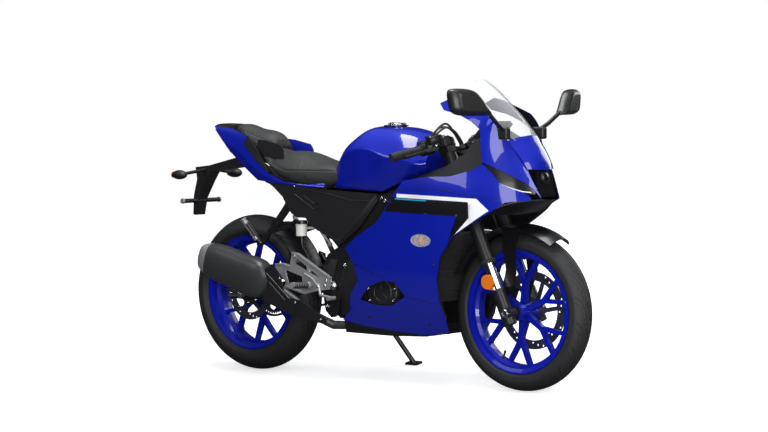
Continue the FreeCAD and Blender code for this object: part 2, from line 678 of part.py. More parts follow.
axle_space = rod(Vector(rx, -200, rz), Vector(rx, 200, rz), size("rear_axle_radius"))
spool_centre = Vector(rx + size("spool_ahead"), 0, rz - size("spool_below"))
spool_space = rod(spool_centre - Vector(0, 200, 0), spool_centre + Vector(0, 200, 0), size("spool_radius"))
swing = arm.multiFuse([mirrored(arm), brace, pivot_tube]).cut(bolt_space).cut(axle_space)
swing = swing.cut(spool_space)
node("swingarm", shaped("swingarm", swing.removeSplitter()))
gathered("rear_axle_and_pivot", pivot_rod, rod(Vector(rx, -118, rz), Vector(rx, 118, rz),
                                               size("rear_axle_radius") - size("running_gap")))

# Rear sprocket and chain
chain_line, chain_wide = size("chain_line"), size("chain_wide")
teeth, depth = int(size("sprocket_teeth")), size("tooth_depth")
step = 360 / teeth
tip, root = size("sprocket_radius"), size("sprocket_radius") - depth
blank = [Vector(math.cos(math.radians(turn)) * reach, 0, math.sin(math.radians(turn)) * reach)
         for tooth in range(teeth)
         for turn, reach in (((tooth - 0.32) * step, root), ((tooth - 0.1) * step, tip),
                             ((tooth + 0.1) * step, tip), ((tooth + 0.32) * step, root))]
sprocket_start = chain_line - size("sprocket_thick") / 2
disk = polygon(blank).extrude(Vector(0, size("sprocket_thick"), 0))
disk = disk.cut(Part.makeCylinder(size("rear_axle_radius") + 14, 40, Vector(0, -20, 0), Vector(0, 1, 0)))
for window in range(6):
    turn = math.radians(60 * window + 30)
    disk = disk.cut(Part.makeCylinder(17, 40, Vector(62 * math.cos(turn), -20, 62 * math.sin(turn)),
                                      Vector(0, 1, 0)))
disk.translate(Vector(0, sprocket_start, 0))
carrier = Part.makeCylinder(36, sprocket_start - size("rear_hub_half"),
                            Vector(0, size("rear_hub_half"), 0), Vector(0, 1, 0))
carrier = carrier.cut(Part.makeCylinder(size("rear_axle_radius") + 4, 200, Vector(0, 0, 0), Vector(0, 1, 0)))
node("rear_sprocket", shaped("rear_sprocket", disk.fuse(carrier).removeSplitter()), at_rear)


def belt(radius_rear, radius_front, width):
    """The region inside a belt round both sprockets, with straight runs that touch both."""
    rear, front = Vector(rx, 0, rz), Vector(size("drive_x"), 0, size("drive_z"))
    gap = front - rear
    slope = math.atan2(gap.z, gap.x)
    lean_in = math.acos((radius_rear - radius_front) / gap.Length)
    corners = []
    for centre, radius in ((rear, radius_rear), (front, radius_front)):
        corners.append([centre + Vector(math.cos(slope + side * lean_in), 0,
                                        math.sin(slope + side * lean_in)) * radius
                        for side in (1, -1)])
    (top_rear, low_rear), (top_front, low_front) = corners
    along = Vector(math.cos(slope), 0, math.sin(slope))
    edges = [Part.makeLine(top_rear, top_front),
             Part.Arc(top_front, front + along * radius_front, low_front).toShape(),
             Part.makeLine(low_front, low_rear),
             Part.Arc(low_rear, rear - along * radius_rear, top_rear).toShape()]
    face = Part.Face(Part.Wire(edges))
    face.translate(Vector(0, chain_line - width / 2, 0))
    return face.extrude(Vector(0, width, 0))


inner_run = 1.5
chain = belt(tip + inner_run + size("chain_deep"), size("drive_sprocket_radius") + size("chain_deep"),
             chain_wide).cut(belt(tip + inner_run, size("drive_sprocket_radius"), chain_wide))
node("drive_chain", shaped("drive_chain", chain))

# Engine: crankcase, inclined cylinder with its head, round covers on each side
case_half = size("case_half")
case = [(-178, 262), (-150, 238), (150, 236), (212, 270), (205, 372), (150, 432), (-95, 452),
        (-110, 400), (-122, 300)]
case_prism = side_prism(case, -96, 96)
cylinder = side_prism([(60, 425), (150, 372), (250, 505), (215, 590), (150, 600)],
                      -size("cylinder_half"), size("cylinder_half"))
clutch_cover = rod(Vector(86, -96, 352), Vector(86, -case_half, 352), size("cover_radius"))
clutch_cover = clutch_cover.makeFillet(9, [edge for edge in clutch_cover.Edges
                                           if edge.BoundBox.YMax < -case_half + 1])
filter_cover = rod(Vector(165, -96, 300), Vector(165, -case_half + 8, 300), 26)
generator = rod(Vector(70, 96, 345), Vector(70, case_half - 6, 345), size("cover_radius"))
drive_boss = rod(Vector(size("drive_x"), 50, size("drive_z")),
                 Vector(size("drive_x"), chain_line - chain_wide / 2 - 1, size("drive_z")), 14)
chain_room = side_prism([(-200, 318), (-200, 440), (-26, 440), (-26, 318)],
                        chain_line - chain_wide / 2 - 4, 200)
arm_room = side_prism([(-400, 300), (-400, 430), (-116, 430), (-116, 300)], -300, 300)
engine = case_prism.multiFuse([cylinder, clutch_cover, filter_cover, generator])
engine = engine.cut(chain_room).fuse(drive_boss).cut(arm_room)
for x, z in ((-94, 448), (90, 660)):
    hanger = rod(Vector(x, -inner_face, z), Vector(x, inner_face, z), 9)
    engine = engine.fuse(hanger if z < 600 else side_prism(
        [(130, 590), (165, 590), (112, 686), (84, 686)], -30, 30).cut(frame_shape))
engine = largest(engine.removeSplitter())
node("engine", shaped("engine", engine))

# Radiator behind the front wheel
radiator = side_prism([(300, 330), (332, 322), (372, 575), (342, 582)],
                      -size("radiator_half"), size("radiator_half"))
holders = [rod(Vector(240, y, 514), Vector(334, y, 528), 6).cut(engine) for y in (-54, 54)]
node("radiator", shaped("radiator", radiator.multiFuse(holders).removeSplitter()))

# Exhaust: pipe under the engine, silencer and its end cap on the right
pipe_points = [Vector(246, -30, 512), Vector(276, -30, 498), Vector(266, -32, 330),
               Vector(226, -34, 232), Vector(140, -44, 213), Vector(-60, -66, 212),
               Vector(-165, -118, 213), Vector(-228, -166, 252), Vector(-330, -171, 312),
               Vector(-432, size("silencer_y"), 367)]
pipe = bent_rod(pipe_points, size("pipe_radius")).cut(engine)
pipe = max(pipe.Solids, key=lambda solid: solid.Volume)
node("exhaust_pipe", shaped("exhaust_pipe", pipe))


def oval(centre, way, half_width, half_height):
    """A closed smooth oval across a direction in the side view."""
    up = Vector(0, 1, 0).cross(way).normalize()
    if up.z < 0:
        up = up * -1
    points = [centre + Vector(0, math.cos(math.radians(turn)) * half_width, 0)
              + up * math.sin(math.radians(turn)) * half_height for turn in range(0, 360, 45)]
    return smooth_wire(points)


silencer_way = Vector(-300, 0, 84).normalize()
silencer_foot = Vector(-440, size("silencer_y"), 364)
silencer_up = Vector(84, 0, 300).normalize()


def silencer_ring(run, wide, high):
    """One section of the silencer: tall, with rounded shoulders."""
    return ring([silencer_foot + silencer_way * run + Vector(0, a * wide, 0) + silencer_up * b * high
                 for a, b in ((1.05, 0.5), (0.7, 1.03), (-0.7, 1.03), (-1.05, 0.5), (-1.05, -0.5),
                              (-0.7, -1.03), (0.7, -1.03), (1.05, -0.5))])


silencer = loft([silencer_ring(*station) for station in (
    (0, 24, 26), (26, 34, 56), (44, 42, 70), (130, 46, 76), (240, 46, 74), (322, 44, 66),
    (352, 40, 58), (376, 30, 44))])
node("exhaust_silencer", shaped("exhaust_silencer", silencer))
shield_outline = [(-468, 418), (-410, 443), (-380, 417), (-362, 382), (-345, 322), (-267, 309),
                  (-129, 242), (-138, 221), (-304, 247), (-461, 300)]
shield = side_prism(shield_outline, -201, -198)
posts = [rod(Vector(x, -168, z), Vector(x, -198, z), 5) for x, z in ((-330, 300), (-228, 252))]
shield = largest(shield.multiFuse(posts).cut(pipe).cut(silencer).removeSplitter())
node("heat_shield", shaped("heat_shield", shield))

running_gap = size("running_gap")
# Tank: a humped shell of steel seen only from outside, and its filler cap


def tank_section(x, top, crease_y, crease_z, low_y, low_z):
    """Half a cross-section of the tank: flat belly, tucked flank, crease and rounded top."""
    return x, [
        (low_y * 0.86, low_z - 2), (low_y, low_z + 4), (crease_y + 3, crease_z - 14),
        (crease_y + 4, crease_z + 3), (crease_y * 0.78, crease_z + (top - crease_z) * 0.72),
        (crease_y * 0.4, top + 1)]


tank_stations = [(-206, 778, 58, 768, 66, 750), (-190, 808, 74, 788, 84, 748),
                 (-165, 854, 92, 820, 102, 745), (-131, 903, 112, 852, 112, 743),
                 (-97, 932, 126, 878, 118, 742), (-56, 957, 138, 893, 122, 741),
                 (-20, 976, 146, 899, 128, 739), (20, 984, 150, 901, 130, 738),
                 (80, 982, 154, 888, 132, 734), (165, 973, 156, 867, 130, 741),
                 (235, 946, 136, 853, 104, 776), (285, 906, 100, 850, 70, 802)]
tank = loft([even_ring(*tank_section(*station)) for station in tank_stations])
cap_x, cap_seat = size("cap_x"), 987
cap_hinge = Vector(cap_x + size("cap_radius") + size("cap_knuckle"), 0,
                   cap_seat + running_gap + size("cap_knuckle"))
filler = rod(Vector(cap_x, 0, 900), Vector(cap_x, 0, cap_seat), size("cap_radius") + 12)
spar_room = side_prism([(60, 640), (60, 726), (240, 790), (400, 860), (400, 700)], -200, 200)
tank = tank.fuse(filler).cut(spar_room)
tank_foot = rod(Vector(110, 0, 690), Vector(110, 0, 780), 12).cut(frame_shape)
tank = largest(tank.fuse(tank_foot).removeSplitter())
node("fuel_tank", shaped("fuel_tank", tank))
cap = rod(Vector(cap_x, 0, cap_seat + running_gap),
          Vector(cap_x, 0, cap_seat + running_gap + size("cap_thick")), size("cap_radius"))
cap = cap.makeFillet(2.5, cap.Edges[:1])
knuckle = rod(cap_hinge - Vector(0, 11, 0), cap_hinge + Vector(0, 11, 0), size("cap_knuckle"))
node("fuel_cap", shaped("fuel_cap", cap.fuse(knuckle).removeSplitter()))


def seat_section(x, low, shoulder, top, half):
    """One cross-section of a seat: flat underside, upright flank, shoulder and crown."""
    return even_ring(x, [(half * 0.9, low - 1), (half * 1.02, low + 8), (half * 1.02, shoulder - 8),
                         (half * 0.84, shoulder + 4), (half * 0.42, top + 2)])


rider_seat = loft([seat_section(*station) for station in (
    (-128, 775, 822, 828, 104), (-200, 752, 826, 828, 120), (-260, 749, 826, 834, 131),
    (-320, 754, 825, 856, 136), (-370, 763, 826, 874, 136), (-440, 786, 830, 880, 130),
    (-500, 820, 846, 882, 116), (-560, 848, 874, 884, 92))])
rider_seat = largest(rider_seat.cut(tank))
node("rider_seat", shaped("rider_seat", rider_seat))
passenger_seat = loft([seat_section(*station) for station in (
    (-524, 872, 902, 930, 60), (-545, 872, 914, 952, 74), (-600, 884, 930, 966, 84),
    (-660, 918, 952, 976, 76), (-742, 962, 978, 988, 50))])
passenger_seat = largest(passenger_seat.cut(rider_seat))
node("passenger_seat", shaped("passenger_seat", passenger_seat))

# Tail fairing: thin side panels that meet at the tail tip
wall = size("panel_wall")
tail_outline = [(-190, 764), (-190, 748), (-286, 750), (-379, 758), (-559, 771), (-690, 846),
                (-740, 880), (-800, 935), (-866, 988), (-740, 976), (-643, 947), (-656, 913),
                (-575, 853), (-492, 800), (-395, 768), (-290, 758)]
tail_rows = ((-180, 134, (700, 742, 750, 758, 762, 766, 800, 1000)),
             (-300, 142, (700, 752, 757, 762, 770, 776, 810, 1000)),
             (-420, 140, (700, 762, 768, 782, 788, 792, 830, 1000)),
             (-560, 118, (700, 800, 806, 846, 852, 870, 900, 1000)),
             (-700, 82, (740, 896, 904, 930, 938, 956, 966, 1000)),
             (-880, 42, (860, 950, 956, 970, 974, 982, 990, 1010)))
tail_bulge = (-14, 6, 6, 2, 1, -2, -6, -24)
tail_face = surface([[Vector(x, -(width + bulge), z) for bulge, z in zip(tail_bulge, heights)]
                     for x, width, heights in tail_rows])
tail_skin = tail_face.extrude(Vector(0, wall, 0))
tail_room = tail_face.extrude(Vector(0, 170, 0))
tail_room.translate(Vector(0, wall, 0))
tail_room = tail_room.common(mirrored(tail_room))
tail_side = tail_skin.common(side_prism(tail_outline, -300, 0))
both_sides("tail_fairing", shaped("tail_side", largest(tail_side)))
strip_outline = [(-640, 949), (-612, 930), (-560, 886), (-524, 846), (-484, 806), (-492, 801.5),
                 (-575, 854.5), (-654, 914)]
strip = largest(tail_skin.common(side_prism(strip_outline, -300, 0)).cut(rider_seat))
ear = side_prism([(-585, 880), (-579, 934), (-540, 930), (-457, 912), (-442, 890), (-444, 840),
                  (-560, 840)], -92, -88)
ear = largest(ear.cut(rider_seat).cut(passenger_seat))
tail_top = loft([even_ring(x, [(half * 0.9, low), (half, (low + top) / 2), (half * 0.8, top),
                               (half * 0.3, top + 2)]) for x, low, top, half in (
    (-886, 982, 989, 14), (-862, 972, 994, 34), (-800, 955, 996, 60), (-744, 940, 992, 74))])
# Tail light, rear mudguard with its plate bracket, and signals
tail_light = side_prism([(-858, 974), (-800, 928), (-746, 878), (-736, 886), (-790, 938),
                         (-846, 980)], -90, 90).common(tail_room)
node("tail_light", shaped("tail_light", tail_light))
tail_top = largest(tail_top.common(tail_room).cut(passenger_seat).cut(tail_light))
gathered("tail_cover", strip, mirrored(strip), ear, mirrored(ear), tail_top)
arm_half = 30
fender_arm = side_prism([(-710, 824), (-902, 800), (-930, 760), (-974, 690), (-990, 620), (-1000, 622),
                         (-996, 700), (-976, 770), (-985, 818), (-905, 826), (-740, 862),
                         (-710, 868)], -arm_half, arm_half)
cross_piece = rod(Vector(-984, -108, 680), Vector(-984, 108, 680), 9)
rear_fender = fender_arm.fuse(cross_piece).removeSplitter()
node("rear_fender", shaped("rear_fender", rear_fender))


def signal(foot, tip, head_length, head_radius):
    """A turn signal: a slim stalk and an egg-shaped lamp."""
    way = (tip - foot).normalize()
    egg = Part.makeSphere(head_radius)
    shape = FreeCAD.Matrix()
    shape.scale(Vector(head_length / 2 / head_radius, 1, 0.8))
    egg = egg.transformGeometry(shape)
    egg.translate(tip)
    return rod(foot, tip, 7).fuse(egg).removeSplitter()


both_sides("rear_signals", shaped("rear_signal", signal(
    Vector(-930, -26, 808), Vector(-945, -165, 790), 74, 24).cut(rear_fender)))

# Side surface: its half width at each station along the machine and each height
side_heights = (180, 280, 400, 520, 640, 735, 830, 930, 1030, 1100)
side_widths = {
    -200: (104, 130, 150, 165, 175, 180, 175, 166, 152, 140),
    0: (112, 156, 178, 190, 196, 200, 192, 172, 152, 140),
    200: (116, 167, 196, 205, 210, 213, 200, 174, 154, 138),
    400: (100, 172, 199, 209, 214, 215, 198, 172, 156, 132),
    520: (105, 168, 195, 206, 208, 206, 189, 171, 154, 124),
    600: (90, 150, 185, 198, 199, 194, 171, 164, 148, 116),
    660: (70, 140, 170, 186, 180, 172, 148, 119, 118, 100),
    710: (60, 120, 150, 165, 155, 142, 112, 55, 60, 60),
    750: (50, 100, 130, 140, 125, 104, 62, -15, 0, 10),
    790: (40, 80, 110, 115, 95, 46, 0, -90, -60, -50),
    850: (30, 60, 80, 80, 50, -50, -80, -190, -150, -140)}
side_face = surface([[Vector(x, -width, height) for height, width in zip(side_heights, widths)]
                     for x, widths in side_widths.items()])


def side_panel(outline, inset=0, depth=None):
    """A side-view outline cut from the side surface, inset behind it and some depth thick."""
    skin = side_face.extrude(Vector(0, depth or wall, 0))
    skin.translate(Vector(0, inset, 0))
    return skin.common(side_prism(outline, -320, 0))


fairing_edge = [(764, 714), (694, 706), (647, 672), (563, 623), (489, 578), (430, 503),
                (404, 411), (406, 328), (414, 267), (402, 206)]
fairing_outline = fairing_edge + [
    (277, 197), (1, 217), (-113, 236), (-95, 250), (-60, 276), (-46, 333), (6, 400), (-10, 463),
    (-52, 518), (15, 565), (119, 619), (162, 664), (206, 722), (226, 745), (258, 782), (365, 797),
    (473, 800), (560, 822), (600, 846), (633, 815), (675, 771), (708, 756), (736, 744), (757, 727)]


def inside(inset):
    """The whole room between both side surfaces, at some inset."""
    half = side_face.extrude(Vector(0, 260, 0))
    half.translate(Vector(0, inset, 0))
    return half.common(mirrored(half))


cutout = [(5, 322), (62, 376), (144, 402), (198, 398), (246, 345), (165, 305), (85, 304)]
side_fairing = side_panel(fairing_outline).cut(side_prism(cutout, -320, 0))
signal_hole = Part.makeCylinder(24, 320, Vector(341, 0, 560), Vector(0, -1, 0))
stretch = FreeCAD.Matrix()
stretch.move(Vector(-341, 0, 0))
stretch.scale(Vector(2, 1, 1))
stretch.move(Vector(341, 0, 0))
signal_hole = signal_hole.transformGeometry(stretch)
both_sides("side_fairings", shaped("side_fairing", side_fairing.cut(signal_hole)))
both_sides("front_signals", shaped("front_signal", side_face.extrude(Vector(0, 14, 0)).common(
    signal_hole)))

# Upper fairing: the two flanks with their swept-back wings, and the middle of the nose
flank = [(671, 928), (705, 884), (737, 825), (765, 765), (786, 719), (767, 749), (742, 775),
         (693, 808), (631, 839), (600, 852), (590, 904), (585, 956), (582, 972), (541, 1001),
         (481, 1027), (408, 1044), (385, 1070), (432, 1090), (474, 1081), (598, 1028), (644, 985)]
upper_flank = side_panel(flank)
nose_heights = (965, 929, 885, 838, 812)
nose_depths = {-110: (640, 662, 694, 718, 728), -60: (686, 702, 734, 758, 764),
               0: (694, 712, 744, 766, 771), 60: (686, 702, 734, 758, 764),
               110: (640, 662, 694, 718, 728)}
nose_face = surface([[Vector(x, y, z) for z, x in zip(nose_heights, depths)]
                     for y, depths in nose_depths.items()])
nose_window = polygon([Vector(0, y, z) for y, z in (
    (-104, 930), (-60, 944), (0, 950), (60, 944), (104, 930), (82, 826), (0, 822), (-82, 826))])
nose = nose_face.extrude(Vector(-4, 0, 0)).common(nose_window.extrude(Vector(900, 0, 0)))
upper = nose.multiFuse([upper_flank, mirrored(upper_flank)])
node("upper_fairing", shaped("upper_fairing", upper))

# Windscreen: a clear bubble on the nose
screen_rows = ((477, 1160, 16, 62), (512, 1142, 30, 98), (588, 1075, 40, 116),
               (654, 1012, 32, 104), (701, 945, 16, 82))
screen_grid = [[Vector(x - back * share ** 2, half * share, z - back * 0.9 * share ** 2)
                for share in (-1, -0.6, 0, 0.6, 1)] for x, z, back, half in screen_rows]
screen = surface(screen_grid).extrude(Vector(-2.2, 0, -2.2))
screen = largest(screen.cut(upper))
node("windscreen", shaped("windscreen", screen))

# Headlight: the dark lamp unit in the nose opening, and a lens in each eye slit
lamp = largest(side_prism([(690, 836), (752, 838), (776, 724), (700, 724)], -50, 50).cut(upper))
eye = side_panel([(604, 862), (693, 818), (742, 786), (770, 757), (768, 734), (736, 738), (708, 749),
                  (673, 764), (628, 806)], wall, 7).cut(lamp)
gathered("headlight_unit", lamp, eye, mirrored(eye))

# Dark inner panels: cockpit sides, the nose underside and the flanges inside the fairing
cockpit = side_panel([(592, 950), (598, 904), (606, 856), (560, 814), (473, 791), (380, 789),
                      (370, 800), (450, 838), (520, 880), (555, 925)], wall).cut(eye)
flange_outline = fairing_edge[2:] + [(382, 206), (386, 270), (382, 328), (386, 411), (412, 510),
                                     (478, 592), (563, 640)]
flange = side_panel(flange_outline, wall, 12)

# The room that the front tyre sweeps when it is steered to the right-hand lock
spare = size("tyre_room")
tyre_reach, tyre_half = size("front_tyre_radius") + spare, size("front_tyre_width") / 2 + spare
tyre_lens = polygon([Vector(0, 0, tyre_reach), Vector(0, tyre_half * 0.55, tyre_reach - 5),
                     Vector(0, tyre_half * 0.88, tyre_reach - 20), Vector(0, tyre_half, tyre_reach - 42),
                     Vector(0, tyre_half, tyre_reach - 90), Vector(0, -tyre_half, tyre_reach - 90),
                     Vector(0, -tyre_half, tyre_reach - 42),
                     Vector(0, -tyre_half * 0.88, tyre_reach - 20),
                     Vector(0, -tyre_half * 0.55, tyre_reach - 5)])
tyre_space = tyre_lens.revolve(Vector(), Vector(0, 1, 0), 360)
tyre_space.translate(front_axle)
for turn in range(9):
    turned_tyre = tyre_space.copy()
    turned_tyre.rotate(steering.Base, leg_way, turn * (size("steering_lock") + 0.5) / 8)
    flange = flange.cut(turned_tyre)
flange = max(flange.Solids, key=lambda solid: solid.Volume)

# Under the nose: a dark keel between the chin lines, open to the rear
keel_rows = ((622, 664, 655, 186), (670, 692, 668, 168), (720, 708, 688, 132),
             (762, 714, 704, 88), (786, 716, 712, 50))
keel_grid = [[Vector(x, half * share, edge - (edge - middle) * (1 - abs(share)))
              for share in (-1, -0.55, 0, 0.55, 1)] for x, edge, middle, half in keel_rows]
keel = surface(keel_grid).extrude(Vector(0, 0, -wall))
flange = flange.cut(keel)
gathered("inner_panels", cockpit, mirrored(cockpit), flange, mirrored(flange), keel)

# Mirrors: base on the nose, stalk and housing
mirror_base = Part.makeBox(52, 30, 46, Vector(630, -130, 934))
mirror_base = mirror_base.makeFillet(8, mirror_base.Edges)
stalk = bent_rod([Vector(656, -112, 968), Vector(664, -160, 992), Vector(672, -226, 1034)], 8)
mirror_out = Vector(0.28, 1, 0).normalize()
mirror_front = Vector(1, -0.28, 0).normalize()
mirror_middle = Vector(652, -304, 1066)


def mirror_ring(ahead_by, share):
    """One outline of the mirror housing, shrunk about its middle."""
    outline = ((-100, 36), (-94, 53), (-44, 54), (10, 49), (44, 20), (66, -10), (98, -44), (60, -42),
               (-22, -42), (-62, -40), (-88, -26), (-95, 6))
    return ring([mirror_middle + mirror_front * ahead_by + mirror_out * a * share
                 + Vector(0, 0, b * share) for a, b in outline])


housing_shape = loft([mirror_ring(-16, 0.97), mirror_ring(-4, 1.03), mirror_ring(14, 0.95),
                      mirror_ring(30, 0.6)])
mirror = mirror_base.multiFuse([stalk, housing_shape]).removeSplitter().cut(upper).cut(screen)
mirror = max(mirror.Solids, key=lambda solid: solid.Volume)
both_sides("mirrors", shaped("mirror", mirror))

# Instrument panel between the yoke and the screen
dash = side_prism([(505, 930), (560, 990), (548, 1002), (490, 945)], -78, 78)
post = side_prism([(395, 822), (395, 846), (500, 862), (520, 945), (560, 984), (640, 944),
                   (745, 900), (745, 888), (628, 926), (560, 950), (534, 850)], -14, 14)
post = post.cut(rod(steering.multVec(Vector(0, 0, 700)), steering.multVec(Vector(0, 0, 1100)),
                    size("head_radius"))).cut(upper)
post = max(post.Solids, key=lambda solid: solid.Volume)
node("instrument_panel", shaped("instrument_panel", dash.fuse(post).removeSplitter()))

# Side covers under the tank and seat
cover = side_prism([(74, 722), (-22, 613), (-112, 532), (-169, 550), (-212, 572), (-262, 595),
                    (-293, 627), (-337, 628), (-368, 645), (-390, 673), (-412, 708), (-457, 744),
                    (-495, 768), (-345, 761), (-290, 747), (-180, 739), (70, 727)], -134, -130)
both_sides("side_covers", shaped("side_cover", largest(cover.cut(tail_side))))

# Subframe rails
rail = bent_rod([Vector(60, -94, 668), Vector(-330, -94, 736), Vector(-700, -44, 858)], 10)
brace_rail = bent_rod([Vector(-168, -94, 462), Vector(-330, -94, 736)], 9.9)
subframe_cross = rod(Vector(-700, -44, 858), Vector(-700, 44, 858), 10)
tabs = [rod(Vector(*inner), Vector(*outer), 5).common(tail_room)
        for inner, outer in (((-335, -90, 738), (-345, -142, 790)), ((-690, -46, 858), (-700, -90, 880)))]
seat_room = rider_seat.fuse(passenger_seat)
tabs += [largest(rod(Vector(x, y, z), Vector(x, y, z + 90), 7).cut(seat_room))
         for x, y, z in ((-300, -92, 726), (-620, -52, 836))]
subframe = rail.multiFuse([brace_rail, mirrored(rail), mirrored(brace_rail), subframe_cross]
                          + tabs + [mirrored(tab) for tab in tabs])
node("subframe", shaped("subframe", subframe.removeSplitter()))

# Rear shock absorber: damper, coils and eyes
shock_low, shock_top = Vector(-280, 0, 378), Vector(-62, 0, 590)
shock_way = (shock_top - shock_low).normalize()
coil_pitch = 18
profile = [(0, 0), (14, 0), (14, 36)]
for turn in range(8):
    start = 36 + turn * coil_pitch
    profile += [(22, start), (28, start + 4), (28, start + 8), (22, start + 12)]
profile += [(16, 36 + 8 * coil_pitch), (16, (shock_top - shock_low).Length),
            (0, (shock_top - shock_low).Length)]
shock = polygon([Vector(x, 0, z) for x, z in profile]).revolve(Vector(), Vector(0, 0, 1), 360)
shock.Placement = Placement(shock_low, Rotation(Vector(0, 0, 1), shock_way))
shock = max(shock.cut(swing).cut(frame_shape).Solids, key=lambda solid: solid.Volume)
node("rear_shock", shaped("rear_shock", shock))

# Hugger over the rear tyre, rear caliper
hugger = round_wheel("hugger", rear_axle, size("rear_tyre_radius") + 12, 110, 78, 3, 20, 42)
foot_plate = side_prism([(-425, 362), (-372, 366), (-386, 474), (-420, 484)], -arm_inner, -arm_inner + 4)
foot_web = side_prism([(-386, 440), (-372, 446), (-396, 478), (-412, 474)], -arm_inner, -74)
hugger = hugger.multiFuse([foot_plate, mirrored(foot_plate), foot_web, mirrored(foot_web)])
node("rear_hugger", shaped("rear_hugger", hugger.removeSplitter()))
rear_caliper = Part.makeBox(70, 46, 44, Vector(-35, -34, -18)).cut(
    Part.makeBox(120, size("disc_thick") + 6, 55, Vector(-60, -size("disc_thick") / 2 - 3, -40)))
carrier_plate = Part.makeBox(46, 10, 60, Vector(-30, -arm_inner + size("rear_hub_half")
                                                + size("disc_thick") / 2, -6))
rear_caliper = rear_caliper.fuse(carrier_plate).removeSplitter()
rear_caliper.rotate(Vector(), Vector(0, 1, 0), 45)
rear_caliper.translate(rear_axle + Vector(72, -size("rear_hub_half") - size("disc_thick") / 2, 72))
node("rear_caliper", shaped("rear_caliper", rear_caliper))

# Footrest plates, pegs and pedals
heel_outline = [(-351, 492), (-318, 489), (-150, 400), (-160, 352), (-214, 346), (-284, 328),
                (-392, 352), (-384, 372), (-440, 430), (-440, 444), (-400, 448), (-362, 440)]
window_a = [(-336, 446), (-326, 470), (-208, 398), (-262, 414)]
window_b = [(-392, 424), (-300, 398), (-296, 366), (-372, 366)]
heel = side_prism(heel_outline, -150, -142).cut(side_prism(window_a, -200, 0)).cut(
    side_prism(window_b, -200, 0))
spacers = [rod(Vector(x, -142, z), Vector(x, -130, z), 9) for x, z in ((-168, 386), (-180, 366))]
heel = heel.multiFuse(spacers[:1]).removeSplitter()
both_sides("footrest_plates", shaped("footrest_plate", heel))
peg = rod(Vector(-262, -146, 366), Vector(-262, -252, 372), 11).cut(heel)
pedal = bent_rod([Vector(-214, -149, 362), Vector(-190, -166, 330), Vector(-120, -176, 322)], 6)
pedal = pedal.fuse(rod(Vector(-120, -164, 322), Vector(-120, -206, 322), 8)).cut(heel)
gathered("foot_controls", peg, mirrored(peg), pedal, mirrored(pedal))

# Passenger footrests: looped brackets and folded pegs
bracket_outline = [(-338, 752), (-374, 764), (-419, 677), (-520, 560), (-565, 530), (-572, 512),
                   (-540, 512), (-500, 556), (-380, 590), (-350, 650)]
loop = [(-395, 655), (-365, 690), (-360, 620), (-470, 575)]
passenger = side_prism(bracket_outline, -114, -104).cut(side_prism(loop, -200, 0))
hanger = largest(rod(Vector(-354, -104, 742), Vector(-354, -86, 742), 8).cut(subframe))
passenger = passenger.fuse(hanger).removeSplitter()
folded = largest(rod(Vector(-552, -112, 522), Vector(-590, -150, 600), 10).cut(passenger))
gathered("passenger_footrests", passenger, mirrored(passenger), folded, mirrored(folded))
reservoir = rod(Vector(-322, -124, 556), Vector(-322, -124, 606), 22)
strap = rod(Vector(-322, -106, 585), Vector(-244, -92, 590), 5).cut(subframe)
strap = max(strap.Solids, key=lambda solid: solid.Volume)
reservoir = reservoir.fuse(strap).removeSplitter()
node("brake_reservoir", shaped("brake_reservoir", reservoir))

# Belly pan
belly = side_prism([(-112, 186), (116, 184), (290, 190), (290, 232), (-104, 246)], -200, 200)
belly_hollow = side_prism([(-130, 189), (116, 187), (310, 193), (310, 270), (-130, 270)], -200, 200)
belly = belly.common(inside(wall)).cut(belly_hollow.common(inside(2 * wall)))
node("belly_pan", shaped("belly_pan", belly))

# The lean: a roll to the left about the line through both tyres' crown centres
front_low = Vector(front_axle.x, 0, size("front_crown"))
rear_low = Vector(rear_axle.x, 0, size("rear_crown"))
roll = Rotation(front_low - rear_low, -size("lean"))
leaning = Placement(rear_low - roll.multVec(rear_low), roll)

# Side stand: hinged on a lug at the frame, its foot flat on the ground
stand_pivot = Vector(size("stand_pivot_x"), size("stand_pivot_y"), size("stand_pivot_z"))
foot_ground = Vector(-40, size("stand_reach"), 0)
foot = Part.makeBox(size("foot_length"), size("foot_width"), size("foot_thick"),
                    foot_ground - Vector(size("foot_length") / 2, size("foot_width") / 2, 0))
foot = foot.makeFillet(8, [edge for edge in foot.Edges if edge.BoundBox.ZLength > 6])
foot.Placement = leaning.inverse()
foot_top = leaning.inverse().multVec(foot_ground + Vector(0, 0, size("foot_thick")))
stand_way = (foot_top - stand_pivot).normalize()
folded_way = Vector(-0.97, 0.2, 0.06).normalize()
stand_axis = stand_way.cross(folded_way).normalize()
stand_leg = rod(stand_pivot, foot_top + stand_way * 4, size("stand_radius"))
eye = rod(stand_pivot - stand_axis * 7, stand_pivot + stand_axis * 7, 17)
stand = stand_leg.multiFuse([eye, foot])
below = Part.makeBox(400, 400, 100, foot_ground - Vector(200, 200, 100))
below.Placement = leaning.inverse()
stand = stand.cut(below)
pin_space = rod(stand_pivot - stand_axis * 40, stand_pivot + stand_axis * 40, 6 + 0.3)
stand_pin = rod(stand_pivot - stand_axis * 26, stand_pivot + stand_axis * 11, 6)
stand_pin = stand_pin.fuse(rod(stand_pivot + stand_axis * 11, stand_pivot + stand_axis * 15, 10))
stand_lug = side_prism([(-200, 272), (-190, 222), (-134, 222), (-124, 268)], inner_face, outer_face)
stay_rod = rod(Vector(246, -108, 738), Vector(246, -300, 738), 7).common(inside(wall))
low_stay = rod(Vector(90, -118, 676), Vector(110, -300, 600), 7).common(inside(wall))
frame_shape = frame_shape.multiFuse([stand_pin, stand_lug, stay_rod, mirrored(stay_rod),
                                     low_stay, mirrored(low_stay)])
node("main_frame", shaped("main_frame", frame_shape.removeSplitter()))
node("side_stand", shaped("side_stand", stand.cut(pin_space).removeSplitter()))

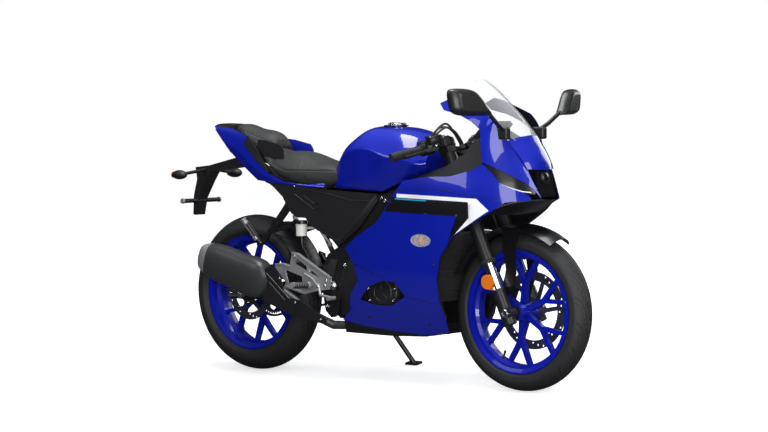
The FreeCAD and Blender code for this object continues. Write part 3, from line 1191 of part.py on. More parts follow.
# Every piece takes its place in the leaned machine, whose box is centred on the origin
doc.recompute()
for label, thing in nodes.items():
    if label in steering_frame_nodes:
        thing.Placement = steering
for thing in nodes.values():
    thing.Placement = leaning.multiply(thing.Placement)
boxes = [thing.Shape.optimalBoundingBox() for thing in nodes.values()]
centre = Placement(Vector(-(min(box.XMin for box in boxes) + max(box.XMax for box in boxes)) / 2,
                          -(min(box.YMin for box in boxes) + max(box.YMax for box in boxes)) / 2, 0),
                   Rotation())
for thing in nodes.values():
    thing.Placement = centre.multiply(thing.Placement)

os.makedirs("parts", exist_ok=True)
faults = [item.Name for item in doc.Objects if "Invalid" in item.State or "Error" in item.State]
faults += [label for label, thing in nodes.items()
           if thing.Shape.isNull() or not thing.Shape.isValid() or thing.Shape.Volume <= 0]
if faults:
    raise RuntimeError("these failed: " + ", ".join(faults))
for label, thing in nodes.items():
    thing.Shape.exportStep(f"parts/{label}.step")

# The joints, as the leaned machine has them
whole = centre.multiply(leaning)
joints = {"steering": (steering.multVec(Vector(0, 0, size("upper_clamp"))),
                       steering.Rotation.multVec(Vector(0, 0, 1))),
          "front_wheel": (front_axle, Vector(0, 1, 0)), "rear_wheel": (rear_axle, Vector(0, 1, 0)),
          "fuel_cap": (cap_hinge, Vector(0, 1, 0)),
          "side_stand": (stand_pivot, stand_axis)}
for name, (point, axis) in joints.items():
    place, way = whole.multVec(point), whole.Rotation.multVec(axis)
    print(f"joint {name} at {place.x:.3f} {place.y:.3f} {place.z:.3f}"
          f" axis {way.x:.6f} {way.y:.6f} {way.z:.6f}")
mounts = {"front_axle_bore": (front_axle, Vector(0, 1, 0)),
          "paddock_hole_right": (spool_centre - Vector(0, (arm_inner + arm_outer) / 2, 0), Vector(0, -1, 0)),
          "paddock_hole_left": (spool_centre + Vector(0, (arm_inner + arm_outer) / 2, 0), Vector(0, 1, 0))}
for name, (point, axis) in mounts.items():
    place, way = whole.multVec(point), whole.Rotation.multVec(axis)
    print(f"mount {name} at {place.x:.3f} {place.y:.3f} {place.z:.3f}"
          f" axis {way.x:.6f} {way.y:.6f} {way.z:.6f}")
low = min(box.ZMin for box in boxes)
print(f"{len(nodes)} pieces, lowest point {low:.3f}")
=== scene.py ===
# %% [markdown]
# # A small faired sport motorcycle in a white studio
#
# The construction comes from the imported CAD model: frame, wheels, fork, panels and
# controls, each at its real size. This notebook dresses it. Every cell below takes one
# finish or one piece, says what it is on the real machine, and makes it.
#
# The machine leans on its side stand. It is easier to think about it upright, so the
# first cells work out an upright frame: +X ahead, +Y to the rider's left, +Z up, in
# millimetres, with the wheels' axles at known places.

# %% Load the frame and find the upright machine in it
import json
import math
from contextlib import contextmanager

import bmesh
import bpy
import numpy
from mathutils import Matrix, Vector
from mathutils.bvhtree import BVHTree


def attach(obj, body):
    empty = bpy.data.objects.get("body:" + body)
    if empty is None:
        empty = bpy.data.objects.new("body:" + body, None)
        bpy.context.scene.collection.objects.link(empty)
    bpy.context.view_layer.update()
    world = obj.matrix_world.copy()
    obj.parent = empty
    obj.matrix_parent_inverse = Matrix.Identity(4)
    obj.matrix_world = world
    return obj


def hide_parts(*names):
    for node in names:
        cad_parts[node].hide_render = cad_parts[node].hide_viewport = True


MM = 0.001
WHEELBASE, FRONT_RADIUS, REAR_RADIUS = 1325, 296, 314
X, Y, Z = Vector((1, 0, 0)), Vector((0, 1, 0)), Vector((0, 0, 1))
BOTH = (-1, 1)

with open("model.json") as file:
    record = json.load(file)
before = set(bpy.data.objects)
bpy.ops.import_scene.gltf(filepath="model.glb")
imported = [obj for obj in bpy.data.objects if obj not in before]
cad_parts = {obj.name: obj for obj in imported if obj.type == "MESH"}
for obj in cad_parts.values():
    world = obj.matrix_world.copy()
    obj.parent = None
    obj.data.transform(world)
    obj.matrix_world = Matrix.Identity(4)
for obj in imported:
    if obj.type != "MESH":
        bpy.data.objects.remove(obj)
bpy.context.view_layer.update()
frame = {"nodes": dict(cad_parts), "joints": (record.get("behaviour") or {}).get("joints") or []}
nodes = frame["nodes"]
joints = {joint["name"]: joint for joint in frame["joints"]}

front_hub = Vector(joints["front_wheel"]["pos_m"])
rear_hub = Vector(joints["rear_wheel"]["pos_m"])
left = Vector(joints["rear_wheel"]["axis"]).normalized()
drop = math.atan2(REAR_RADIUS - FRONT_RADIUS, WHEELBASE)
along = (front_hub - rear_hub).normalized()
across = along.cross(left)
ahead = along * math.cos(drop) + across * math.sin(drop)
up = across * math.cos(drop) - along * math.sin(drop)
turn = Matrix((ahead, left, up)).transposed()
origin = rear_hub - turn @ Vector((-0.5 * WHEELBASE, 0, REAR_RADIUS)) * MM
upright = Matrix.Translation(origin) @ turn.to_4x4() @ Matrix.Scale(MM, 4)
print("lean in degrees:", round(math.degrees(up.angle(Z)), 2))


# %% Points, objects and shader nodes
def place(x, y, z):
    """A point of the upright machine, in millimetres, as a point of the scene."""
    return upright @ Vector((x, y, z))


def show(name, data):
    """A new object in the scene."""
    made = bpy.data.objects.new(name, data)
    bpy.context.scene.collection.objects.link(made)
    return made


def put(name, data, body):
    """A new piece that rides on a body."""
    piece = show(name, data)
    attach(piece, body)
    return piece


def as_mesh(name, form):
    """A form as a mesh. The form is let go."""
    mesh = bpy.data.meshes.new(name)
    form.to_mesh(mesh)
    form.free()
    return mesh


def pour(part, form):
    """Add one form to another."""
    held = as_mesh("held", part)
    form.from_mesh(held)
    bpy.data.meshes.remove(held)


def node(tree, kind, inputs=(), **settings):
    """A shader node with its settings and some of its inputs filled in."""
    made = tree.nodes.new("ShaderNode" + kind)
    for name, value in settings.items():
        setattr(made, name, value)
    for name, value in dict(inputs).items():
        made.inputs[name].default_value = value
    return made


def join(tree, *pairs):
    """Link pairs of sockets, each an output and an input."""
    for source, target in pairs:
        tree.links.new(source, target)


def reckon(tree, operation, *values):
    """What a Math node makes of sockets and numbers."""
    made = node(tree, "Math", operation=operation)
    for socket, value in zip(made.inputs, values):
        if isinstance(value, bpy.types.NodeSocket):
            tree.links.new(value, socket)
        else:
            socket.default_value = value
    return made.outputs[0]


# %% [markdown]
# ## Camera
#
# The photograph was taken with a long lens from the right-hand front. Matching the
# outlines of both tyres gives the camera's place, its turn and its focal length. The
# camera is placed against the upright machine, because that is how the machine stands
# in the picture.

# %% Camera
YAW, PITCH, ROLL = 0.68609369, 0.0438585651, -0.00764026189
FOCAL_PIXELS, PICTURE_WIDTH, SENSOR_WIDTH = 2365.48, 768, 36
CAMERA_SPOT = (5807.61, -7098.51, 1038.42)

look = Vector((-math.sin(YAW) * math.cos(PITCH), math.cos(YAW) * math.cos(PITCH),
               -math.sin(PITCH)))
side = Vector((math.cos(YAW), math.sin(YAW), 0))
above = side.cross(look)
picture_right = side * math.cos(ROLL) + above * math.sin(ROLL)
picture_up = above * math.cos(ROLL) - side * math.sin(ROLL)

lens = bpy.data.cameras.new("photo_lens")
lens.sensor_width = SENSOR_WIDTH
lens.lens = FOCAL_PIXELS / PICTURE_WIDTH * SENSOR_WIDTH
lens.clip_start, lens.clip_end = 0.1, 200
camera = show("photo_camera", lens)
camera_turn = turn @ Matrix((picture_right, picture_up, -look)).transposed()
camera.matrix_world = Matrix.Translation(place(*CAMERA_SPOT)) @ camera_turn.to_4x4()
bpy.context.scene.camera = camera
print("lens:", round(lens.lens, 1), "mm")

# %% [markdown]
# ## Studio
#
# White paper lies below, and six soft lamps stand round the machine: overhead, ahead,
# behind on the right, on the left, over the camera, and a low one for the wheels. The
# background is white to the camera and through the clear parts only, so it adds no
# light to the paint. The paper is dark to the lamps' bounce and pale to the camera,
# which sees a faint contact shadow under each tyre.

# %% World
ROOM_LIGHT = 0.42
world = bpy.data.worlds.new("studio")
bpy.context.scene.world = world
world.use_nodes = True
tree = world.node_tree
tree.nodes.clear()
output, choose, rays = (node(tree, kind) for kind in ("OutputWorld", "MixShader", "LightPath"))
direction, split, height = (node(tree, kind) for kind in ("TexCoord", "SeparateXYZ", "ValToRGB"))
seen = node(tree, "Background", {"Color": (1, 1, 1, 1)})
room = node(tree, "Background", {"Strength": ROOM_LIGHT})
shown = reckon(tree, "MAXIMUM", rays.outputs["Is Camera Ray"],
               rays.outputs["Is Transmission Ray"])
ramp = height.color_ramp.elements
ramp[0].position, ramp[0].color = 0.0, (0.03, 0.03, 0.035, 1)
ramp[1].position, ramp[1].color = 0.85, (0.82, 0.9, 1, 1)
ramp.new(0.3).color = (0.05, 0.05, 0.06, 1)
join(tree, (direction.outputs["Generated"], split.inputs[0]),
     (split.outputs["Z"], height.inputs[0]), (height.outputs[0], room.inputs["Color"]),
     (shown, choose.inputs[0]), (room.outputs[0], choose.inputs[1]),
     (seen.outputs[0], choose.inputs[2]), (choose.outputs[0], output.inputs[0]))
bpy.context.scene.view_settings.view_transform = "Standard"


# %% Lamps
def softbox(name, spot, target, width, height, power):
    """A rectangular lamp at a spot of the upright machine, aimed at another."""
    data = bpy.data.lights.new(name, "AREA")
    data.shape, data.size, data.size_y, data.energy = "RECTANGLE", width, height, power
    lamp = show(name, data)
    lamp.rotation_euler = (place(*target) - place(*spot)).to_track_quat("-Z", "Y").to_euler()
    lamp.location = place(*spot)


softbox("top_light", (100, -500, 3600), (0, 0, 500), 2.8, 1.4, 130)
softbox("front_strip", (4200, -500, 1900), (300, 0, 600), 1.2, 2.6, 55)
softbox("right_strip", (-2200, -4200, 2600), (-200, 0, 500), 2.4, 1.2, 30)
softbox("left_fill", (800, 4000, 2200), (0, 0, 600), 2.4, 1.6, 45)
softbox("above_camera", (4300, -5600, 2700), (400, 0, 700), 3.0, 2.0, 95)
softbox("low_front", (2700, -2700, 300), (350, -150, 280), 1.6, 0.5, 55)

# %% Paper floor
PAPER_SIZE = 3.6
DARK_PAPER, PALE_PAPER, GLOW = (0.08, 0.08, 0.09, 1), (0.82, 0.82, 0.82, 1), (0.6, 0.6, 0.6, 1)
paper = bpy.data.materials.new("studio_paper")
paper.use_nodes = True
tree = paper.node_tree
tree.nodes.clear()
output, together = node(tree, "OutputMaterial"), node(tree, "AddShader")
lit, glow = node(tree, "BsdfDiffuse"), node(tree, "Emission", {"Color": GLOW})
tone = node(tree, "Mix", {"A": DARK_PAPER, "B": PALE_PAPER}, data_type="RGBA")
to_camera = node(tree, "LightPath").outputs["Is Camera Ray"]
join(tree, (to_camera, glow.inputs["Strength"]), (to_camera, tone.inputs["Factor"]),
     (tone.outputs["Result"], lit.inputs["Color"]), (lit.outputs[0], together.inputs[0]),
     (glow.outputs[0], together.inputs[1]), (together.outputs[0], output.inputs[0]))
form = bmesh.new()
bmesh.ops.create_grid(form, x_segments=1, y_segments=1, size=PAPER_SIZE)
floor = show("paper_floor", as_mesh("paper_floor", form))
floor.data.materials.append(paper)

# %% [markdown]
# ## Finishes
#
# Each finish is one Principled shader. The helper makes it with a fine noise that
# varies the roughness and, where asked, a bump: no real surface is perfectly even.

# %% A finish with its own grain
PAINT, PAINT_GLOSS, BARE_PLASTIC = (0.005, 0.014, 0.36), 0.15, (0.008, 0.008, 0.009)
finishes = {}


def finish(name, colour, rough, grain, tint=0.0, bump=0.0, metal=0.0, coat=0.0, uneven=0.06,
           gloss=0.5):
    """A Principled material whose roughness, colour and height follow a noise."""
    finishes[name] = bpy.data.materials.new(name)
    finishes[name].use_nodes = True
    tree = finishes[name].node_tree
    shader = tree.nodes["Principled BSDF"]
    for socket, value in (("Metallic", metal), ("Coat Weight", coat),
                          ("Coat Roughness", 0.02), ("Specular IOR Level", gloss)):
        shader.inputs[socket].default_value = value
    where, noise = node(tree, "TexCoord"), node(tree, "TexNoise", {"Scale": grain, "Detail": 4})
    spread = node(tree, "MapRange", {"To Min": max(rough - uneven, 0.0),
                                     "To Max": min(rough + uneven, 1.0)})
    shade = node(tree, "Mix", {"A": (*[c * (1 - tint) for c in colour], 1),
                               "B": (*[min(c * (1 + tint), 1) for c in colour], 1)},
                 data_type="RGBA")
    join(tree, (where.outputs["Object"], noise.inputs["Vector"]),
         (noise.outputs["Fac"], spread.inputs["Value"]),
         (spread.outputs["Result"], shader.inputs["Roughness"]),
         (noise.outputs["Fac"], shade.inputs["Factor"]),
         (shade.outputs["Result"], shader.inputs["Base Color"]))
    if bump:
        rise = node(tree, "Bump", {"Distance": MM, "Strength": bump})
        join(tree, (noise.outputs["Fac"], rise.inputs["Height"]),
             (rise.outputs["Normal"], shader.inputs["Normal"]))
    return tree


def see_through(name, colour, rough, facing, grazing):
    """A thin clear moulding: nearly unseen face on, and denser where it is seen edge on."""
    tree = finish(name, colour, rough, 600, uneven=0.01)
    edge = node(tree, "LayerWeight", {"Blend": 0.35})
    density = node(tree, "MapRange", {"To Min": facing, "To Max": grazing})
    join(tree, (edge.outputs["Facing"], density.inputs["Value"]),
         (density.outputs["Result"], tree.nodes["Principled BSDF"].inputs["Alpha"]))


# Each row is a name, colour, roughness, grain, tint, bump, metal, coat, unevenness and gloss.
for row in (("blue_paint", PAINT, 0.24, 900, 0.05, 0, 0, 1, 0.03, PAINT_GLOSS),
            ("panel_blue", PAINT, 0.24, 900, 0.05, 0, 0, 1, 0.03, PAINT_GLOSS),
            ("wheel_blue", (0.004, 0.011, 0.36), 0.32, 900, 0.06, 0, 0, 0.35, 0.04, PAINT_GLOSS),
            ("black_plastic", BARE_PLASTIC, 0.46, 2200, 0.15, 0.25),
            ("tail_black", (0.010, 0.010, 0.011), 0.42, 2200, 0.15, 0.2),
            ("gloss_black", (0.004, 0.004, 0.005), 0.3, 900, 0, 0, 0, 0.1, 0.03),
            ("satin_black", (0.009, 0.009, 0.010), 0.34, 1200, 0.1, 0.08),
            ("mirror_black", (0.010, 0.010, 0.010), 0.36, 1500, 0.1, 0.1),
            ("silencer_black", (0.045, 0.046, 0.046), 0.36, 1500, 0.12, 0.06, 0.2),
            ("engine_grey", (0.03, 0.03, 0.032), 0.42, 1500, 0.25, 0.2, 0.4),
            ("radiator_grey", (0.05, 0.05, 0.052), 0.5, 900, 0, 0.3, 0.4),
            ("cast_alloy", (0.34, 0.34, 0.35), 0.4, 1800, 0.12, 0.15, 0.45),
            ("bright_steel", (0.6, 0.6, 0.61), 0.24, 1200, 0.05, 0, 1),
            ("chrome", (0.8, 0.8, 0.82), 0.08, 900, 0, 0, 1, 0, 0.03),
            ("disc_steel", (0.16, 0.16, 0.2), 0.34, 1500, 0.2, 0, 0.9),
            ("chain_steel", (0.2, 0.19, 0.18), 0.4, 1500, 0.3, 0, 0.9),
            ("tyre_rubber", (0.014, 0.014, 0.015), 0.62, 700, 0.2, 0.3),
            ("grip_rubber", (0.014, 0.014, 0.014), 0.7, 1500, 0.2, 0.3),
            ("seat_vinyl", (0.018, 0.018, 0.018), 0.6, 2600, 0.2, 0.7),
            ("white_plastic", (0.72, 0.72, 0.68), 0.4, 1200),
            ("amber_lens", (0.85, 0.2, 0.01), 0.2, 600, 0.2, 0, 0, 0.6),
            ("red_lens", (0.5, 0.005, 0.005), 0.15, 600, 0, 0, 0, 0.8),
            ("dark_lens", (0.006, 0.006, 0.007), 0.2, 600, 0, 0, 0, 0.2, 0.02),
            ("white_film", (0.95, 0.96, 0.98), 0.25, 900, 0, 0, 0, 0.8, 0.03),
            ("black_film", (0.006, 0.006, 0.008), 0.3, 900, 0, 0, 0, 0.5, 0.03),
            ("cyan_film", (0.02, 0.42, 0.72), 0.25, 900, 0, 0, 0, 0.8, 0.03)):
    finish(*row)
see_through("screen_clear", (0.62, 0.64, 0.67), 0.03, 0.05, 0.55)
see_through("signal_lens", (0.8, 0.81, 0.83), 0.06, 0.2, 0.8)

# %% [markdown]
# ## Two finishes on one moulding
#
# A fairing panel is painted outside and bare black plastic inside, and the silencer is
# black with a bright end cap. One shader can hold both: a mask worked out from the
# place or the direction of the surface says where the second colour goes.


# %% Masks
def dotted(tree, source, way):
    """How far a vector reaches along a direction of the upright machine."""
    product = node(tree, "VectorMath", {1: turn @ Vector(way)}, operation="DOT_PRODUCT")
    tree.links.new(source, product.inputs[0])
    return product.outputs["Value"]


def beyond(tree, point, way, soft=0.4):
    """A mask that is 1 past a plane of the upright machine, given in millimetres."""
    reach = dotted(tree, node(tree, "TexCoord").outputs["Object"], way)
    level = place(*point).dot(turn @ Vector(way))
    ramp = node(tree, "MapRange", {1: level - soft * MM, 2: level + soft * MM})
    tree.links.new(reach, ramp.inputs[0])
    return ramp.outputs[0]


def facing_inwards(tree):
    """A mask that is 1 on faces that look towards the middle of the machine."""
    where, face = node(tree, "TexCoord"), node(tree, "NewGeometry")
    off_middle = reckon(tree, "SUBTRACT", dotted(tree, where.outputs["Object"], Y),
                        origin.dot(left))
    outwards = reckon(tree, "MULTIPLY", dotted(tree, face.outputs["True Normal"], Y),
                      reckon(tree, "SIGN", off_middle))
    return reckon(tree, "LESS_THAN", outwards, -0.25)


def overlay(name, mask_of, colour, rough, metal=None, coat=None):
    """Change a finish to another where a mask is 1."""
    tree = finishes[name].node_tree
    inputs, mask = tree.nodes["Principled BSDF"].inputs, mask_of(tree)
    for socket, kind, value in (("Base Color", "RGBA", (*colour, 1)),
                                ("Roughness", "FLOAT", rough), ("Metallic", "FLOAT", metal),
                                ("Coat Weight", "FLOAT", coat)):
        if value is None:
            continue
        mix = node(tree, "Mix", {"B": value}, data_type=kind)
        if inputs[socket].is_linked:
            tree.links.new(inputs[socket].links[0].from_socket, mix.inputs["A"])
        else:
            mix.inputs["A"].default_value = inputs[socket].default_value
        join(tree, (mask, mix.inputs["Factor"]), (mix.outputs["Result"], inputs[socket]))


overlay("panel_blue", facing_inwards, BARE_PLASTIC, 0.5, coat=0.0)
overlay("tail_black", facing_inwards, PAINT, 0.24)
overlay("silencer_black", lambda tree: beyond(tree, (-757, -178, 452), (-0.963, 0, 0.27)),
        (0.42, 0.42, 0.43), 0.34, metal=0.5)

# %% A finish for every node
dressing = {
    "blue_paint": "fuel_tank tail_fairing",
    "panel_blue": "side_fairings upper_fairing",
    "tail_black": "tail_cover",
    "wheel_blue": "front_rim rear_rim",
    "tyre_rubber": "front_tyre rear_tyre",
    "black_plastic": "inner_panels side_covers rear_hugger rear_fender belly_pan "
                     "instrument_panel switch_housings rear_signals heat_shield",
    "gloss_black": "front_fender",
    "mirror_black": "mirrors",
    "satin_black": "main_frame subframe swingarm rear_shock lower_fork_yoke upper_fork_yoke "
                   "clip_on_bars fork_outer_tubes fork_axle_lugs front_caliper rear_caliper "
                   "hand_levers passenger_footrests side_stand",
    "grip_rubber": "handlebar_grips brake_hose",
    "seat_vinyl": "rider_seat passenger_seat",
    "engine_grey": "engine",
    "radiator_grey": "radiator",
    "cast_alloy": "footrest_plates foot_controls",
    "bright_steel": "front_axle rear_axle_and_pivot fuel_cap",
    "chrome": "fork_stanchions",
    "disc_steel": "front_brake_disc rear_brake_disc",
    "chain_steel": "rear_sprocket drive_chain",
    "silencer_black": "exhaust_silencer exhaust_pipe",
    "white_plastic": "brake_reservoir",
    "amber_lens": "fork_reflectors",
    "red_lens": "tail_light",
    "screen_clear": "windscreen",
    "signal_lens": "front_signals",
    "dark_lens": "headlight_unit",
}
for look, names in dressing.items():
    for name in names.split():
        nodes[name].data.materials.clear()
        nodes[name].data.materials.append(finishes[look])
print("nodes with no finish:", sorted(set(nodes) - set(" ".join(dressing.values()).split())))

# %% [markdown]
# ## Stripes on the fairing
#
# The real stripes are films of coloured vinyl under the lacquer. Each film is cut flat
# from its side-view outline, sliced into a fine grid so that it can bend, and then
# pressed onto the panel: every corner is moved sideways until it meets the paint.


# %% Films pressed onto a panel
# A line starts FAR_OUT millimetres off the middle, and a meeting closer to the middle than
# LEAST_OFF_MIDDLE metres is the inside of the other side's panel.
FAR_OUT, LEAST_OFF_MIDDLE = 420, 0.08


def panel_tree(name):
    """A node's mesh, ready to be asked where a line meets it."""
    mesh = nodes[name].data
    return BVHTree.FromPolygons([vertex.co for vertex in mesh.vertices],
                                [polygon.vertices for polygon in mesh.polygons])


def on_panel(tree, x, z, hand):
    """Where a sideways line from outside meets a panel, if it does, and the normal there."""
    spot, normal, _, _ = tree.ray_cast(place(x, hand * FAR_OUT, z), -hand * left)
    if spot is None or (spot - origin).dot(left) * hand < LEAST_OFF_MIDDLE:
        return None, None
    return spot, normal


def film(name, outline, panel, look, lift=0.35, cell=8):
    """A film on both sides of the machine, from an outline in the side view."""
    tree, whole = panel_tree(panel), bmesh.new()
    for hand in BOTH:
        form = bmesh.new()
        form.faces.new([form.verts.new((x, 0, z)) for x, z in outline])
        bmesh.ops.triangulate(form, faces=form.faces)
        for axis in (0, 2):
            places = [vertex.co[axis] for vertex in form.verts]
            for step in range(int((max(places) - min(places)) / cell)):
                middle, way = Vector(), Vector()
                middle[axis], way[axis] = min(places) + (step + 1) * cell, 1
                bmesh.ops.bisect_plane(form, geom=form.verts[:] + form.edges[:] + form.faces[:],
                                       plane_co=middle, plane_no=way)
        bmesh.ops.triangulate(form, faces=form.faces)
        missed = []
        for vertex in form.verts:
            spot, _ = on_panel(tree, vertex.co.x, vertex.co.z, hand)
            if spot is None:
                missed.append(vertex)
            else:
                vertex.co = spot + hand * left * lift * MM
        bmesh.ops.delete(form, geom=missed, context="VERTS")
        for face in form.faces:
            if face.normal.dot(left) * hand < 0:
                face.normal_flip()
        pour(form, whole)
    mesh = as_mesh(name, whole)
    mesh.materials.append(finishes[look])
    mesh.shade_smooth()
    put(name, mesh, "frame")
    print(name, len(mesh.polygons), "faces,", len(missed), "corners off the panel")


def ribbon(route, width):
    """The outline of a narrow band along a line of points."""
    edges = []
    for index, point in enumerate(route):
        before, after = route[max(index - 1, 0)], route[min(index + 1, len(route) - 1)]
        run = Vector((after[0] - before[0], after[1] - before[1])).normalized() * (width / 2)
        edges.append(((point[0] - run.y, point[1] + run.x), (point[0] + run.y, point[1] - run.x)))
    return [edge[0] for edge in edges] + [edge[1] for edge in edges[::-1]]


film("white_stripe", [(230, 733), (458, 725), (592, 719), (607, 702), (640, 676), (563, 625),
                      (500, 586), (591, 677), (558, 707), (458, 711), (230, 719)],
     "side_fairings", "white_film", 0.7)
film("black_stripe", [(210, 721), (230, 718), (458, 710), (558, 706), (590, 677), (497, 584),
                      (462, 542), (525, 637), (508, 654), (368, 659), (241, 662), (168, 666)],
     "side_fairings", "black_film")
film("cyan_line", [(224, 716), (372, 711), (372, 706.5), (222, 711.5)], "side_fairings",
     "cyan_film", 0.9)
for number, route in enumerate((((-51, 472), (53, 440), (145, 412)),
                                ((206, 722), (300, 700), (420, 690), (500, 660)),
                                ((243, 344), (330, 330), (404, 322)),
                                ((226, 745), (350, 752), (470, 748), (620, 722), (690, 706)))):
    film(f"fairing_seam_{number}", ribbon(route, 2.2), "side_fairings", "black_film", 0.25)
film("lamp_strip", ribbon(((628, 809), (672, 771), (708, 756), (738, 745), (762, 741)), 3.2),
     "headlight_unit", "white_film", 0.3, 6)

# %% [markdown]
# ## Seats
#
# A motorcycle seat is foam under stretched vinyl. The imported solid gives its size. A
# copy of it is turned into an even mesh, blown up a little as cloth so that the flats
# crown and the edges round off, and a sewn seam is pressed in along each shoulder.


# %% Padded seats
VOXEL, PRESSURE, LAST_FRAME = 0.0055, 4, 16
SEAM_REACH = 4.5


def cushion(replaced, name, swell, seam):
    """A soft copy of a CAD seat that stands for it."""
    piece = show(name, nodes[replaced].data.copy())
    form = bmesh.new()
    form.from_mesh(piece.data)
    bmesh.ops.remove_doubles(form, verts=form.verts, dist=0.0002)
    form.to_mesh(piece.data)
    form.free()
    even = piece.modifiers.new("even", "REMESH")
    even.mode, even.voxel_size = "VOXEL", VOXEL
    settle(piece)
    before = [vertex.co.copy() for vertex in piece.data.vertices]
    cloth = piece.modifiers.new("vinyl", "CLOTH")
    cloth.settings.use_pressure = True
    cloth.settings.uniform_pressure_force = PRESSURE
    cloth.settings.effector_weights.gravity = 0
    for frame_number in range(1, LAST_FRAME + 1):
        bpy.context.scene.frame_set(frame_number)
    settle(piece)
    for vertex, start in zip(piece.data.vertices, before):
        moved = vertex.co - start
        if moved.length > swell * MM:
            vertex.co = start + moved.normalized() * swell * MM
    finer = piece.modifiers.new("finer", "SUBSURF")
    finer.levels = finer.render_levels = 1
    settle(piece)
    for vertex in piece.data.vertices:
        depth = seam(upright.inverted() @ vertex.co)
        if depth > 0:
            vertex.co -= vertex.normal * depth * MM
    piece.data.materials.clear()
    piece.data.materials.append(finishes["seat_vinyl"])
    piece.data.shade_smooth()
    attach(piece, "frame")
    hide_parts(replaced)
    print(name, len(piece.data.polygons), "faces")


def settle(piece):
    """Apply a piece's modifiers to its mesh."""
    bpy.context.view_layer.update()
    seen_now = piece.evaluated_get(bpy.context.evaluated_depsgraph_get())
    settled = bpy.data.meshes.new_from_object(seen_now)
    piece.modifiers.clear()
    piece.data = settled


def shoulder_seam(spot):
    """How deep the rider seat's seam is at a point of the upright machine."""
    line = 812 if spot.x > -400 else 812 + (-400 - spot.x) * 0.3
    near = abs(spot.z - line)
    return 2.2 * (1 - near / SEAM_REACH) if near < SEAM_REACH and abs(spot.y) > 66 else 0


def rear_seam(spot):
    """The passenger pad's seam, along each flank."""
    line = 930 + (-560 - spot.x) * 0.3
    near = abs(spot.z - line)
    return 2 * (1 - near / SEAM_REACH) if near < SEAM_REACH and abs(spot.y) > 50 else 0


cushion("rider_seat", "rider_pad", 5, shoulder_seam)
cushion("passenger_seat", "passenger_pad", 4, rear_seam)

# %% [markdown]
# ## Brake hose
#
# The hose leaves the caliper, climbs behind the fork leg and ends at the yoke. It is a
# smooth curve with a round bevel, drawn through the same control points as the solid.

# %% Brake hose
HOSE_DIAMETER, LESS_AT_BENDS = 0.008, 0.985
hose_route = [(509.3, 70, 357.9), (546, 76, 470), (504, 80, 560), (454, 66, 690), (460, 50, 745)]
hose_curve = bpy.data.curves.new("front_brake_hose", "CURVE")
hose_curve.dimensions = "3D"
line = hose_curve.splines.new("NURBS")
line.points.add(len(hose_route) - 1)
for point, spot in zip(line.points, hose_route):
    point.co = (*place(*spot), 1)
line.order_u = 3
line.use_endpoint_u = True
line.resolution_u = 16
hose_curve.bevel_depth = HOSE_DIAMETER / 2
hose_curve.bevel_resolution = 4
hose_curve.materials.append(finishes["grip_rubber"])
hose = put("front_brake_hose", hose_curve, "steering")
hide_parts("brake_hose")

# %% [markdown]
# ## Drawing small parts
#
# The pieces below are drawn in the upright machine's millimetres and then moved into
# place. A turned part comes from a profile of radius and height, a bar from a line of
# points, and a plate from an outline with some thickness.


# %% Turned parts, bars and plates
SHARP_EDGE, RAKE, TRAIL_POINT = 32, math.radians(24), 748.8


def skin(form, rings):
    """Faces between rings of points, with both ends closed."""
    loops = [[form.verts.new(point) for point in ring] for ring in rings]
    for low, high in zip(loops, loops[1:]):
        for index in range(len(low)):
            form.faces.new((low[index - 1], low[index], high[index], high[index - 1]))
    form.faces.new(loops[0][::-1])
    form.faces.new(loops[-1])


def circle(centre, way, radius, sides, across=None):
    """Points evenly round an axis."""
    first = (across or way.orthogonal()).normalized()
    second = way.cross(first)
    turns = [math.tau * index / sides for index in range(sides)]
    return [centre + (first * math.cos(turn_by) + second * math.sin(turn_by)) * radius
            for turn_by in turns]


def lathe(form, spot, way, profile, sides=24):
    """A turned part on an axis, from radii and the heights they stand at."""
    spot, way = Vector(spot), Vector(way).normalized()
    skin(form, [circle(spot + way * high, way, radius, sides) for radius, high in profile])


def smooth_line(route, steps):
    """Points along a smooth line through the given ones."""
    route = [Vector(point) for point in route]
    line = []
    for index, (start, end) in enumerate(zip(route, route[1:])):
        before, after = route[max(index - 1, 0)], route[min(index + 2, len(route) - 1)]
        for step in range(steps):
            t = step / steps
            line.append(0.5 * (2 * start + (end - before) * t
                               + (2 * before - 5 * start + 4 * end - after) * t ** 2
                               + (3 * start - before - 3 * end + after) * t ** 3))
    return line + [route[-1]]


def bar(form, route, radius, sides=10, steps=6):
    """A round bar along a smooth line."""
    line = smooth_line(route, steps if len(route) > 2 else 1)
    across, rings = None, []
    for index, point in enumerate(line):
        way = (line[min(index + 1, len(line) - 1)] - line[max(index - 1, 0)]).normalized()
        across = across or way.orthogonal()
        across = (across - way * across.dot(way)).normalized()
        rings.append(circle(point, way, radius, sides, across))
    skin(form, rings)


def mirrored(point, hand):
    """A right-hand point or direction as one hand has it."""
    return point.copy() if hand < 0 else Vector((point.x, -point.y, point.z))


def spoke(angle):
    """The way out from a sideways axis at an angle above straight ahead."""
    return Vector((math.cos(angle), 0, math.sin(angle)))


def oblong(wide, high):
    """The outline of a rectangle about the middle."""
    return [(-wide / 2, -high / 2), (wide / 2, -high / 2), (wide / 2, high / 2),
            (-wide / 2, high / 2)]


def plate(form, outline, spot, across, up_way, thick, soft=1.0):
    """A flat outline with some thickness and softened edges."""
    across, up_way = Vector(across).normalized(), Vector(up_way).normalized()
    part = bmesh.new()
    face = part.faces.new([part.verts.new(Vector(spot) + across * a + up_way * b)
                           for a, b in outline])
    made = bmesh.ops.extrude_face_region(part, geom=[face])
    moved = [item for item in made["geom"] if isinstance(item, bmesh.types.BMVert)]
    bmesh.ops.translate(part, vec=across.cross(up_way) * thick, verts=moved)
    if soft:
        bmesh.ops.bevel(part, geom=part.edges[:], offset=soft, segments=2, profile=0.5,
                        affect="EDGES", clamp_overlap=True)
    pour(part, form)


